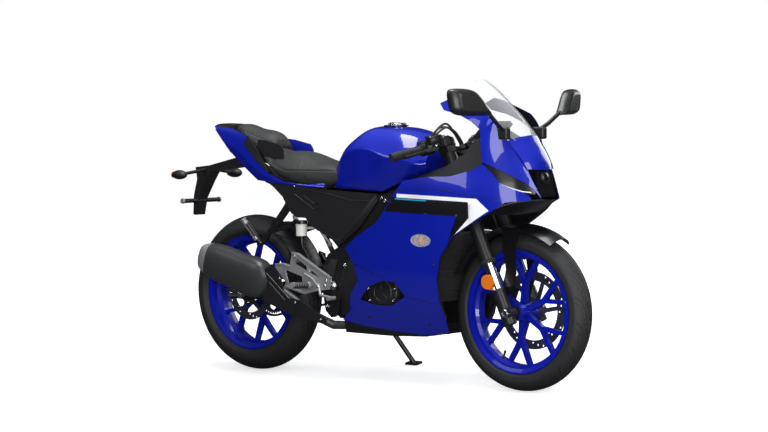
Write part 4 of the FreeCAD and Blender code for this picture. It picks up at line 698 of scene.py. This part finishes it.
def side_plate(form, outline, y_from, thick, hand, soft=1.0):
    """A side-view outline (x, z), from a distance off the middle and outwards."""
    plate(form, outline, Y * (hand * y_from), X, Z, -hand * thick, soft)


def brick(form, centre, across, up_way, wide, high, deep, soft=2.0):
    """A block with softened edges, centred on a point."""
    across, up_way = Vector(across).normalized(), Vector(up_way).normalized()
    corner = Vector(centre) - across.cross(up_way) * (deep / 2)
    plate(form, oblong(wide, high), corner, across, up_way, deep, soft)


def screw(form, spot, way, radius=5.0, high=4.0):
    """A socket-head screw: a round head with a chamfer and a socket."""
    lathe(form, spot, way, [(radius, -1), (radius, high * 0.75), (radius * 0.85, high),
                            (radius * 0.5, high), (radius * 0.45, high * 0.3)], 18)


def nut(form, spot, way, radius=9.0, high=7.0):
    """A six-sided nut on a washer, with the end of its bolt."""
    lathe(form, spot, way, [(radius * 1.35, -1), (radius * 1.35, 1.2), (radius * 1.2, 1.6)], 24)
    lathe(form, spot, way, [(radius, 1), (radius, high * 0.85), (radius * 0.86, high)], 6)
    lathe(form, spot, way, [(radius * 0.5, high - 1), (radius * 0.5, high + 2.2),
                            (radius * 0.38, high + 3)], 16)


def keep(name, form, look, body="frame"):
    """Turn a form into a piece that rides on a body."""
    bmesh.ops.transform(form, matrix=upright, verts=form.verts)
    bmesh.ops.recalc_face_normals(form, faces=form.faces)
    mesh = as_mesh(name, form)
    mesh.materials.append(finishes[look])
    mesh.shade_smooth()
    mesh.set_sharp_from_angle(angle=math.radians(SHARP_EDGE))
    return put(name, mesh, body)


@contextmanager
def drawn(name, look, body="frame", slot=None):
    """A form to draw on that becomes a piece once it is drawn."""
    form = bmesh.new()
    yield form
    keep(name, form, look, body)


steer_up = Vector((-math.sin(RAKE), 0, math.cos(RAKE)))
steer_ahead = Vector((math.cos(RAKE), 0, math.sin(RAKE)))
steer_foot = X * TRAIL_POINT
front_axle = Vector((WHEELBASE / 2, 0, FRONT_RADIUS))
rear_axle = Vector((-WHEELBASE / 2, 0, REAR_RADIUS))


def on_fork(forward, sideways, high):
    """A point of the steering frame, whose height runs up the steering axis."""
    return steer_foot + steer_ahead * forward + Y * sideways + steer_up * high


# %% [markdown]
# ## Tyres
#
# Sport tyres have long sickle-shaped grooves that run from near the middle out to the
# shoulder, and a smooth edge. Each tyre is turned from a fine profile, and its skin is
# pressed in along the grooves.

# %% Tyres with their grooves
TREAD_STEPS, LAPS, GROOVE_EDGE, TREAD_SHARP = 48, 1080, 1.8, 50


def groove_depth(along_tread, over_tread, period, reach, grooves):
    """How deep the tread is cut at each point, in millimetres."""
    depth = numpy.zeros_like(along_tread)
    for side_sign, shift in ((1, 0.0), (-1, 0.5)):
        place_along = (along_tread / period + shift) % 1.0 * period
        place_over = over_tread * side_sign
        for route, width, deep in grooves:
            for (a0, b0), (a1, b1) in zip(route, route[1:]):
                start = numpy.array((a0 * period, b0 * reach))
                run = numpy.array((a1 * period, b1 * reach)) - start
                for lap in (-1, 0, 1):
                    da, db = place_along - lap * period - start[0], place_over - start[1]
                    t = numpy.clip((da * run[0] + db * run[1]) / run.dot(run), 0, 1)
                    away = numpy.hypot(da - t * run[0], db - t * run[1])
                    cut = numpy.clip(((width + GROOVE_EDGE) / 2 - away) / GROOVE_EDGE, 0, 1)
                    depth = numpy.maximum(depth, cut * deep)
    return depth


def tread_tyre(replaced, name, body, hub, radius, width, crown, rim_half, repeats):
    """A tyre of the node's size with cut grooves, that stands for it."""
    half = width / 2 - 1
    drop_edge = crown - math.sqrt(crown ** 2 - half ** 2)
    edge_angle = math.asin(half / crown)
    profile = [(crown * math.sin(a), radius - crown * (1 - math.cos(a)), crown * a) for a in
               (edge_angle * (2 * step / TREAD_STEPS - 1) for step in range(TREAD_STEPS + 1))]
    shoulder, bead = radius - drop_edge, rim_half - 0.3
    wall_side = [(width / 2, shoulder - 12), (width / 2 - 1.2, shoulder - 15),
                 (width / 2 - 0.6, shoulder - 17), (bead + 6.4, 236.5), (bead + 5, 235),
                 (bead, 230.3), (bead - 2, 217.3), (bead - 11, 217.3), (bead - 9, 226),
                 (half - 9, shoulder - 6), (half * 0.62, radius - drop_edge * 0.42 - 9)]
    loop = profile + [(y, r, None) for y, r in wall_side]
    loop += [(-y, r, None) for y, r in wall_side[::-1]]
    turns = numpy.arange(LAPS) * math.tau / LAPS
    reach = crown * edge_angle
    grooves = [([(0.02, 0.05), (0.35, 0.13), (0.7, 0.28), (1.0, 0.52), (1.18, 0.8)], 5.2, 3.6),
               ([(0.45, 0.42), (0.75, 0.6), (0.95, 0.86)], 4.0, 3.0),
               ([(0.12, 0.3), (0.38, 0.36)], 3.2, 2.6)]
    grid = []
    for y, r, over in loop:
        ring_radius = numpy.full(LAPS, float(r))
        if over is not None:
            ring_radius -= groove_depth(turns * radius, numpy.full(LAPS, over),
                                        math.tau * radius / repeats, reach, grooves)
        grid.append(numpy.stack([hub.x + numpy.cos(turns) * ring_radius, numpy.full(LAPS, y),
                                 hub.z + numpy.sin(turns) * ring_radius], 1))
    spots = numpy.concatenate(grid)
    matrix = numpy.array(upright)
    spots = spots @ matrix[:3, :3].T + matrix[:3, 3]
    rows = len(loop)
    a, b = numpy.meshgrid(numpy.arange(rows), numpy.arange(LAPS), indexing="ij")
    corner = [((a + i) % rows) * LAPS + (b + j) % LAPS
              for i, j in ((0, 0), (0, 1), (1, 1), (1, 0))]
    faces = numpy.stack(corner, 2).reshape(-1, 4)
    mesh = bpy.data.meshes.new(name)
    mesh.from_pydata(spots.tolist(), [], faces.tolist())
    form = bmesh.new()
    form.from_mesh(mesh)
    bmesh.ops.recalc_face_normals(form, faces=form.faces)
    form.to_mesh(mesh)
    form.free()
    mesh.materials.append(finishes["tyre_rubber"])
    mesh.shade_smooth()
    mesh.set_sharp_from_angle(angle=math.radians(TREAD_SHARP))
    piece = put(name, mesh, body)
    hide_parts(replaced)
    print(name, len(mesh.polygons), "faces")


for end, hub, *sizes in (("front", front_axle, FRONT_RADIUS, 100, 52.3, 40, 18),
                         ("rear", rear_axle, REAR_RADIUS, 140, 73.3, 53, 15)):
    tread_tyre(end + "_tyre", end + "_tread", end + "_wheel", hub, *sizes)

# %% [markdown]
# ## Chain
#
# A 428 chain has a pitch of 12.7 mm. Inner and outer links take turns on the pins, and
# the rollers sit between the plates. It runs round the rear sprocket and the small
# drive sprocket behind the engine's cover.

# %% Chain and drive sprocket
CHAIN_LINE, REAR_PATH, FRONT_PATH, LINKS, STEPS = 84, 102.2, 35.7, 126, 60
LINK_ROUND, DRIVE_TEETH = 4.9, 14
drive_hub = Vector((-72, 0, 372))


def chain_loop():
    """Points a few millimetres apart along the middle of the chain, once round."""
    gap = drive_hub - rear_axle
    slope, lean_in = math.atan2(gap.z, gap.x), math.acos((REAR_PATH - FRONT_PATH) / gap.length)
    spots = []
    for hub, radius, start, end in (
            (rear_axle, REAR_PATH, slope + lean_in, slope - lean_in + math.tau),
            (drive_hub, FRONT_PATH, slope - lean_in, slope + lean_in)):
        for step in range(STEPS + 1):
            spots.append(hub + spoke(start + (end - start) * step / STEPS) * radius)
    return spots + spots[:1]


def evenly(spots, count):
    """Points at even distances along a line of points."""
    lengths = [0]
    for start, end in zip(spots, spots[1:]):
        lengths.append(lengths[-1] + (end - start).length)
    found, index = [], 0
    for step in range(count):
        goal = lengths[-1] * step / count
        while lengths[index + 1] < goal:
            index += 1
        share = (goal - lengths[index]) / (lengths[index + 1] - lengths[index])
        found.append(spots[index].lerp(spots[index + 1], share))
    return found


pins = evenly(chain_loop(), LINKS)
form = bmesh.new()
for index, pin in enumerate(pins):
    after = pins[(index + 1) % LINKS]
    way = (after - pin).normalized()
    upwards = Y.cross(way)
    half_pitch = (after - pin).length / 2
    outline = []
    for end in (1, -1):
        for angle in (-75, -35, 0, 35, 75):
            a = math.radians(angle)
            outline.append((end * (half_pitch + LINK_ROUND * math.cos(a)),
                            end * LINK_ROUND * math.sin(a)))
    offset = 3.6 if index % 2 else 5.0
    for hand in BOTH:
        middle = (pin + after) / 2 + Y * (CHAIN_LINE + hand * offset - 0.6)
        plate(form, outline, middle, way, upwards, -1.2 if way.cross(upwards).y < 0 else 1.2, 0)
    lathe(form, pin + Y * (CHAIN_LINE - 3), Y, [(3.8, 0), (3.8, 6)], 8)
    lathe(form, pin + Y * (CHAIN_LINE - 6), Y, [(1.6, 0), (1.6, 12)], 6)
chain = keep("roller_chain", form, "chain_steel")
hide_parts("drive_chain")

with drawn("drive_sprocket", "chain_steel") as form:
    outline = []
    for tooth in range(DRIVE_TEETH):
        for turn_by, reach in ((-0.3, 24), (-0.1, 29.6), (0.1, 29.6), (0.3, 24)):
            a = math.tau * (tooth + turn_by) / DRIVE_TEETH
            outline.append((reach * math.cos(a), reach * math.sin(a)))
    plate(form, outline, drive_hub + Y * (CHAIN_LINE + 3), X, Z, 6, 0.5)
    nut(form, drive_hub + Y * (CHAIN_LINE + 3), Y, 12, 8)

# %% [markdown]
# ## Fasteners and fittings
#
# The screws, nuts and small fittings are gathered by body and by finish.


# %% Wheel fittings
def ring_of(count, centre, radius, start=0.0):
    """Points evenly round a sideways axis."""
    return [centre + spoke(math.tau * index / count + start) * radius for index in range(count)]


valve_way = spoke(math.radians(-118))
for body, hub, disc_y, seal_y, boss_side in (("front_wheel", front_axle, 60.5, 55, 1),
                                             ("rear_wheel", rear_axle, -58.5, 53, -1)):
    with drawn(body + "_disc_screws", "bright_steel", body) as form:
        for spot in ring_of(6, hub + Y * disc_y, 41, 0.3):
            screw(form, spot, Y * boss_side, 6.5, 4)
    with drawn(body + "_bearing_seals", "satin_black", body, "grip_rubber") as form:
        for hand in BOTH:
            lathe(form, hub + Y * (hand * seal_y), Y * hand,
                  [(26, 0), (26, 1.6), (24, 2.4), (15, 2.4), (14, 1.2)], 36)
    with drawn(body + "_valve", "grip_rubber", body) as form:
        lathe(form, hub + valve_way * 203, -valve_way - Y * 0.25,
              [(6, -4), (6, 3), (4, 5), (4, 22), (4.8, 23), (4.8, 32), (3.6, 34)], 16)
with drawn("sprocket_screws", "bright_steel", "rear_wheel") as form:
    for spot in ring_of(6, rear_axle + Y * 86.5, 52):
        screw(form, spot, Y, 5.5, 2.4)

# %% Fork, yokes and calipers
with drawn("fork_dust_seals", "grip_rubber", "steering") as form:
    for hand in BOTH:
        lathe(form, on_fork(32, hand * 95, 513), steer_up,
              [(29.5, -7), (31, -5), (31, 2), (30.2, 4), (30.2, 6)], 36)
        lathe(form, on_fork(32, hand * 95, 398), steer_up, [(25, -1), (25, 2), (22.5, 5)], 36)
with drawn("fork_fasteners", "bright_steel", "steering") as form:
    for hand in BOTH:
        top = on_fork(32, hand * 95, 1012)
        lathe(form, top, steer_up, [(24, -1), (24, 3), (22, 4.5), (14, 4.5)], 36)
        lathe(form, top, steer_up, [(12, 4), (12, 11), (10.5, 12), (4, 12), (4, 9)], 6)
        for high in (826, 838):
            screw(form, on_fork(-14, hand * 127, high), Y * hand, 5, 5)
        screw(form, on_fork(10, hand * 131, 991), Y * (hand * 0.4) - steer_ahead, 5, 6)
        for high in (-16, 16):
            screw(form, front_axle + steer_up * high + Vector((-14, hand * 116, 0)), -X, 4.5, 5)
    stem = on_fork(0, 0, 974)
    lathe(form, stem, steer_up, [(22, 0), (22, 4), (20, 5)], 36)
    lathe(form, stem, steer_up, [(17, 4), (17, 13), (15, 14.5), (8, 14.5), (8, 8)], 6)
with drawn("front_axle_ends", "bright_steel", "steering") as form:
    nut(form, front_axle + Y * 121, Y, 13, 9)
    lathe(form, front_axle - Y * 121, -Y, [(16, -1), (16, 3), (14, 5), (9, 5), (8, 1)], 32)
with drawn("steering_lock_housing", "satin_black", "steering", "black_tube") as form:
    lathe(form, on_fork(62, 0, 962), steer_up,
          [(19, 0), (19, 16), (17, 18), (13, 18), (12, 15)], 32)
with drawn("key_cylinder", "bright_steel", "steering") as form:
    lathe(form, on_fork(62, 0, 975), steer_up, [(11, 0), (11, 4), (10, 5)], 28)
    plate(form, oblong(2.4, 12), on_fork(62, 0, 979.2), Y, steer_ahead, -1.4, 0)

caliper_way = spoke(math.radians(158))
caliper_up = Y.cross(caliper_way)
caliper_spot = front_axle + caliper_way * 129 + Y * 56
with drawn("caliper_pistons", "satin_black", "steering", "caliper_alloy") as form:
    for shift in (-19, 19):
        lathe(form, caliper_spot + caliper_up * shift + Y * 33, Y,
              [(17, 0), (17, 5), (15, 7.5), (11, 7.5), (10, 6)], 32)
with drawn("caliper_screws", "bright_steel", "steering") as form:
    for shift in (-36, 36):
        screw(form, caliper_spot + caliper_up * shift + caliper_way * 18 + Y * 35, Y, 6, 6)
    lathe(form, caliper_spot + caliper_way * 33 + Y * 14, caliper_way,
          [(8, 0), (8, 3), (6, 3.4), (6, 8), (5, 9)], 6)

# %% Handlebar controls
BAR_SWEEP, BAR_DROOP = math.radians(19), math.radians(11.5)
bar_way = Vector((-math.sin(BAR_SWEEP), -math.cos(BAR_SWEEP) * math.cos(BAR_DROOP),
                  -math.sin(BAR_DROOP))).normalized()
bar_root = on_fork(34, -95, 991)
lever_way = Vector((1.0588, 0, 0.0263))
lever_way = (lever_way - bar_way * lever_way.dot(bar_way)).normalized()
lever_high = bar_way.cross(lever_way).normalized()


def by_bar(along_by, forward=0.0, high=0.0, hand=-1):
    """A point beside the handlebar of one hand."""
    return mirrored(bar_root + bar_way * along_by + lever_way * forward + lever_high * high, hand)


with (drawn("control_screws", "bright_steel", "steering") as steel_form,
      drawn("switch_boxes", "satin_black", "steering") as black_form,
      drawn("grip_ribs", "grip_rubber", "steering") as grip_form):
    for hand in BOTH:
        out, fore, high = (mirrored(way, hand) for way in (bar_way, lever_way, lever_high))
        for index in range(17):
            lathe(grip_form, by_bar(126 + index * 6, hand=hand), out,
                  [(16.2, -1.7), (17.4, -1.1), (17.4, 1.1), (16.2, 1.7)], 28)
        lathe(grip_form, by_bar(115.6, hand=hand), out,
              [(19, 0), (21.5, 1.2), (21.5, 4.2), (19, 5.4)], 32)
        lathe(black_form, by_bar(66, hand=hand), out,
              [(24.4, 0), (25.4, 1.2), (25.4, 22.5), (24.6, 23.3), (24.6, 24.3), (25.4, 25.1),
               (25.4, 46.6), (24.4, 47.8)], 36)
        brick(black_form, by_bar(90, -6, 20, hand), out, fore, 44, 40, 16, 4)
        brick(black_form, by_bar(86, 30, 6, hand), out, fore, 46, 26, 26, 5)
        if hand < 0:
            brick(black_form, by_bar(74, 34, 30), out, fore, 48, 34, 26, 4)
            brick(black_form, by_bar(74, 34, 45), out, fore, 54, 40, 6, 2)
            for a in (-20, 20):
                screw(steel_form, by_bar(74 + a, 34 + a * 0.5, 47.6), high, 3, 2)
        screw(steel_form, by_bar(78, 54, 10.5, hand), high, 6, 4)
        for along_by in (72, 108):
            screw(steel_form, by_bar(along_by, -22, 12, hand), -fore, 3.2, 2.5)

with drawn("stop_switch", "red_lens", "steering") as form:
    brick(form, by_bar(96, -28, 16), bar_way, lever_high, 16, 12, 8, 2)
with drawn("left_switches", "mirror_black", "steering") as form:
    for along_by, high, *size in ((88, 18, 18, 8, 8), (104, 8, 10, 14, 8), (80, 4, 12, 10, 6)):
        brick(form, by_bar(along_by, -28, high, 1), mirrored(bar_way, 1),
              mirrored(lever_high, 1), *size, 2)
with drawn("control_cables", "grip_rubber", "steering") as form:
    for start, bend, inwards_by, radius in (((82, 8, 26), (404, -118, 990), 58, 4.2),
                                            ((96, 12, 27), (412, -128, 978), 50, 3.4),
                                            ((70, 30, 42), (426, -112, 968), 42, 4.0)):
        for hand in BOTH:
            first, top = by_bar(*start, hand), mirrored(Vector(bend), hand)
            end = on_fork(66, hand * inwards_by, 964)
            bar(form, [first, first.lerp(top, 0.5) + Vector((6, 0, 22)), top,
                       end + steer_up * 24, end], radius, 10, 8)
    for hand in BOTH:
        brick(form, on_fork(62, hand * 50, 960), Y, steer_ahead, 32, 18, 14, 3)

# %% Instruments
dash_up, dash_face = Vector((55, 0, 60)).normalized(), Vector((-60, 0, 55)).normalized()
dash_spot = Vector((505, 0, 930)) + dash_up * 41 + dash_face
dash_marks = dash_spot + dash_face * 7.9
with drawn("instrument_bezel", "satin_black") as form:
    brick(form, dash_spot + dash_face * 3, Y, dash_up, 138, 70, 8, 3)
with drawn("instrument_glass", "dark_lens") as form:
    brick(form, dash_spot + dash_face * 6.6, Y, dash_up, 116, 54, 2.4, 0.8)
with drawn("instrument_marks", "white_film") as form:
    for index in range(26):
        a = math.radians(200 - index * 8.8)
        brick(form, dash_marks + Y * (math.cos(a) * 40) + dash_up * (math.sin(a) * 19 + 2), Y,
              dash_up, 1.4 if index % 5 else 2.6, 3.5, 0.4, 0)
    for offset in (-12, 0, 12):
        for low in (0, 10):
            brick(form, dash_marks + Y * offset - dash_up * low, Y, dash_up, 7, 1.4, 0.4, 0)

# %% Tank and its filler
with drawn("filler_ring", "satin_black") as form:
    lathe(form, (60, 0, 984), Z, [(48, 0), (48, 3), (46, 4.6), (34, 4.6), (33, 3)], 64)
with drawn("filler_screws", "bright_steel") as form:
    for index in range(7):
        a = math.tau * (index + 0.5) / 7
        screw(form, (60 + math.cos(a) * 40, math.sin(a) * 40, 988.4), Z, 3.4, 2)
with drawn("cap_lock_cover", "satin_black", "fuel_cap", "bright_steel") as form:
    brick(form, (44, 0, 997.4), X, Y, 20, 15, 3, 1)
    lathe(form, (66, 0, 996), Z, [(13, 0), (13, 1.4), (11.5, 2.2)], 32)

# %% Frame, side covers and footrests
with (drawn("footrest_castings", "cast_alloy") as alloy_form,
      drawn("frame_ribs", "black_plastic") as black_form,
      drawn("frame_screws", "bright_steel") as steel_form):
    for hand in BOTH:
        out = Y * hand
        for x, y, z, radius, high in (
                (-60, 130, 590, 8, 6), (-185, 130, 285, 8, 6), (-94, 130, 448, 8, 6),
                (110, 130, 700, 8, 6), (94, 134, 712, 6, 3), (-350, 134, 752, 5, 3),
                (-336, 150, 476, 6.5, 5), (-172, 150, 386, 6.5, 5), (-180, 150, 366, 6.5, 5),
                (-552, 114, 522, 7, 5), (-354, 114, 742, 7, 5)):
            screw(steel_form, (x, hand * y, z), out, radius, high)
        nut(steel_form, (-148, hand * 138, 368), out, 13, 9)
        nut(steel_form, (-214, hand * 150, 362), out, 8, 6)
        for route in (((-347, 719), (-249, 662), (-199, 675)),
                      ((-300, 712), (-246, 684), (-222, 690)),
                      ((60, 700), (-60, 700), (-180, 724), (-330, 744))):
            for ends in zip(route, route[1:]):
                bar(black_form, [(x, hand * 134, z) for x, z in ends], 2.2, 8)
        for form, y, thick, soft, *outline in (
                (black_form, 132.5, 5, 1.5, (-162, 552), (-124, 517), (-18, 594), (78, 702),
                 (64, 724), (-36, 624), (-118, 548)),
                (black_form, 129, 5, 2, (-205, 420), (-200, 360), (-178, 300), (-150, 290),
                 (-140, 340), (-150, 400), (-130, 470), (-165, 470)),
                (black_form, 130.5, 4, 1, (-112, 256), (-62, 256), (-28, 330), (14, 400),
                 (6, 470), (-36, 512), (-70, 470), (-104, 430), (-118, 380)),
                (black_form, 108, 6, 1, (-590, 842), (-560, 858), (-470, 812), (-400, 786),
                 (-200, 766), (-200, 712), (-400, 722), (-520, 764)),
                (alloy_form, 149, 5, 1.5, (-351, 492), (-318, 489), (-150, 400), (-152, 392),
                 (-320, 480), (-350, 482)),
                (alloy_form, 149, 5, 1.5, (-440, 444), (-400, 448), (-362, 440), (-364, 432),
                 (-400, 440), (-436, 437)),
                (alloy_form, 149, 5, 1.5, (-392, 352), (-284, 328), (-214, 346), (-216, 354),
                 (-284, 338), (-388, 361)),
                (alloy_form, 151, 7, 2, (-300, 356), (-262, 378), (-240, 366), (-258, 350))):
            side_plate(form, outline, y, thick, hand, soft)
        for index in range(8):
            lathe(black_form, (-262, hand * (170 + index * 10), 366.6 + index * 0.57), out,
                  [(11.4, -2.4), (13, -1.5), (13, 1.5), (11.4, 2.4)], 20)
        lathe(alloy_form, (-262, hand * 150, 366), out, [(15, 0), (15, 10), (13, 13)])
        bar(alloy_form, [(-214, hand * 152, 362), (-240, hand * 158, 392),
                         (-280, hand * 158, 410)], 5)
        lathe(alloy_form, (-563, hand * 119, 536), (-38, hand * 38, 78),
              [(13, 0), (13, 14), (11, 16), (11, 92), (12.5, 94), (12.5, 98), (9, 100)])

# %% Brake reservoir, linkage and rear fittings
with drawn("reservoir_cap", "satin_black") as form:
    lathe(form, (-322, -124, 603), Z, [(24, 0), (24, 12), (22, 14), (9, 14), (8, 12)], 32)
    lathe(form, (-322, -124, 548), Z, [(10, 0), (10, 8)], 20)
    bar(form, [(-322, -124, 550), (-318, -124, 516), (-296, -122, 484), (-288, -120, 458)], 5)
with drawn("rear_master_cylinder", "cast_alloy") as form:
    lathe(form, (-288, -120, 400), Z, [(9, 0), (11, 3), (11, 40), (9, 44), (7, 60)])
    bar(form, [(-332, -100, 592), (-372, -100, 596)], 6, 12)
    bar(form, [(-246, -104, 585), (-222, -104, 556), (-185, -108, 526)], 5.5, 12)
    for spot in ((-246, -104, 585), (-185, -108, 526)):
        lathe(form, spot, -Y, [(9, 0), (9, 9), (7, 10)], 20)
with drawn("chain_adjusters", "bright_steel") as form:
    for hand in BOTH:
        nut(form, rear_axle + Y * (hand * 116), Y * hand, 14, 9)
        side_plate(form, [(-726, 300), (-640, 302), (-640, 330), (-726, 330)], 113.5, 3.4, hand)
        screw(form, (-712, hand * 114, 315), -X, 5, 12)
with drawn("chain_guard", "black_plastic") as form:
    side_plate(form, [(-560, 424), (-300, 436), (-215, 420), (-215, 412), (-300, 426),
                      (-560, 414)], 76, 22, 1, 2)
    side_plate(form, [(-560, 424), (-300, 436), (-300, 408), (-560, 396)], 97, 3, 1)
    bar(form, [(-330, 98, 410), (-330, 98, 392)], 5)

# %% Fairing screws, seated where they meet the panel
with drawn("fairing_screws", "satin_black") as form:
    panel = panel_tree("side_fairings")
    for hand in BOTH:
        for x, z in ((1, 515), (40, 257), (330, 240), (396, 470), (140, 636), (200, 700)):
            spot, normal = on_panel(panel, x, z, hand)
            out = turn.transposed() @ normal
            screw(form, upright.inverted() @ spot, out * math.copysign(1, out.y * hand), 5, 2.4)

# %% Silencer fittings
silencer_way, silencer_up = Vector((-300, 0, 84)).normalized(), Vector((84, 0, 300)).normalized()
silencer_foot = Vector((-440, -178, 364))
with drawn("silencer_outlet", "bright_steel") as form:
    lathe(form, silencer_foot + silencer_way * 372 - silencer_up * 6, silencer_way,
          [(21, 0), (21, 14), (19.5, 16), (16, 16), (15.4, 2)], 36)
with drawn("silencer_screws", "bright_steel") as form:
    for hand in BOTH:
        for rise in (-30, 30):
            screw(form, silencer_foot + silencer_way * 356 + Y * (hand * 28) + silencer_up * rise,
                  silencer_way + Y * (hand * 0.6), 4, 3)
    for x, z in ((-452, 400), (-372, 392), (-290, 300), (-160, 240)):
        screw(form, (x, -201, z), -Y, 5, 3)
with drawn("shield_ribs", "satin_black") as form:
    for x0, z0, x1, z1 in ((-440, 408, -320, 312), (-425, 372, -345, 306)):
        bar(form, [(x0, -201, z0), (x1, -201, z1)], 2.5, 8)

# %% Engine covers and cylinder fins
cylinder_up, cylinder_ahead = Vector((0.6, 0, 0.8)), Vector((0.8, 0, -0.6))
with (drawn("engine_screws", "bright_steel") as steel_form,
      drawn("engine_castings", "engine_grey") as form):
    for hand, cover in ((-1, Vector((86, -128, 352))), (1, Vector((70, 122, 345)))):
        out = Y * hand
        for spot in ring_of(9, cover - out * 12, 66, 0.2):
            lathe(form, spot, out, [(8, 0), (8, 12), (7, 13)], 20)
            screw(steel_form, spot + out * 13, out, 4.6, 4)
        lathe(form, cover - out, out, [(50, 0), (50, 2), (47, 4), (36, 4), (34, 1.5)], 48)
        for index in range(5):
            way = spoke(math.tau * index / 5 + 0.5)
            bar(form, [cover + way * 12, cover + way * 34], 2.5, 8)
    lathe(form, (150, -118, 396), (0, -1, 0.2), [(15, 0), (15, 10), (13, 12), (6, 12)], 12)
    for index in range(9):
        brick(form, Vector((140, 0, 440)) + cylinder_up * (index * 13), cylinder_ahead, Y,
              112, 138, 3, 1)

# %% Radiator fins
radiator_up, radiator_face = Vector((40, 0, 253)).normalized(), Vector((253, 0, -40)).normalized()
radiator_low = Vector((332, 0, 322)) + radiator_up * 10 + radiator_face * 0.4
with drawn("radiator_core", "radiator_grey") as form:
    for index in range(58):
        brick(form, radiator_low + radiator_up * 118 + Y * (index * 224 / 57 - 112), Y,
              radiator_up, 1, 216, 3, 0)
    for index in range(13):
        brick(form, radiator_low + radiator_up * (14 + index * 17) + radiator_face * 0.6, Y,
              radiator_up, 228, 2.6, 4.5, 0)

# %% Nose lamp and mirrors' glass
lamp_way, lamp_spot = Vector((114, 0, 24)).normalized(), Vector((761, 0, 795))
with drawn("lamp_ring", "satin_black", slot="dark_lens") as form:
    lathe(form, lamp_spot, lamp_way, [(25, -4), (25, 3), (22, 5), (21, 3)], 40)
with drawn("lamp_lens", "dark_lens") as form:
    dome = [(21 * math.cos(a), 1 + 8 * math.sin(a)) for a in (0.2, 0.5, 0.8, 1.1, 1.4)]
    lathe(form, lamp_spot, lamp_way, [(21, -2)] + dome, 40)

mirror_out, mirror_front = Vector((0.28, 1, 0)).normalized(), Vector((1, -0.28, 0)).normalized()
mirror_outline = ((-100, 36), (-94, 53), (-44, 54), (10, 49), (44, 20), (66, -10), (98, -44),
                  (60, -42), (-22, -42), (-62, -40), (-88, -26), (-95, 6), (-100, 36))
with drawn("mirror_glass", "chrome") as form:
    for hand in BOTH:
        rings = []
        for back, share in ((-15, 0.84), (-16.8, 0.84), (-17.4, 0.82)):
            middle = Vector((652, -304, 1066)) + mirror_front * back
            points = smooth_line([middle + mirror_out * a * share + Z * (b * share + 0.8)
                                  for a, b in mirror_outline], 3)[:-1]
            rings.append([mirrored(point, hand) for point in points])
        skin(form, rings)

# %% Signals and bracket ends
with drawn("signal_reflectors", "chrome") as form:
    for hand in BOTH:
        turns = [math.tau * index / 32 for index in range(32)]
        side_plate(form, [(341 + 45 * math.cos(a), 560 + 21 * math.sin(a)) for a in turns],
                   198, 2, hand, 0)
        for index in range(-5, 6):
            reach = 20 * math.sqrt(1 - (index * 7.4 / 46) ** 2)
            bar(form, [(341 + index * 7.4, hand * 200.5, 560 + reach * end) for end in BOTH],
                1.4, 8)
for name, look, spot, way, profile in (
        ("signal_bulbs", "amber_lens", (336, -200, 560), -Y, [(11, 0), (11, 4), (8, 8), (3, 9)]),
        ("rear_signal_lenses", "amber_lens", (-948, -166, 790), -X,
         [(13, 28), (12, 33), (8, 36.4), (3, 37.6)]),
        ("bracket_ends", "cast_alloy", (-984, -105, 680), -Y, [(11, 0), (11, 6), (9, 8)])):
    with drawn(name, look) as form:
        for hand in BOTH:
            lathe(form, mirrored(Vector(spot), hand), mirrored(way, hand), profile)
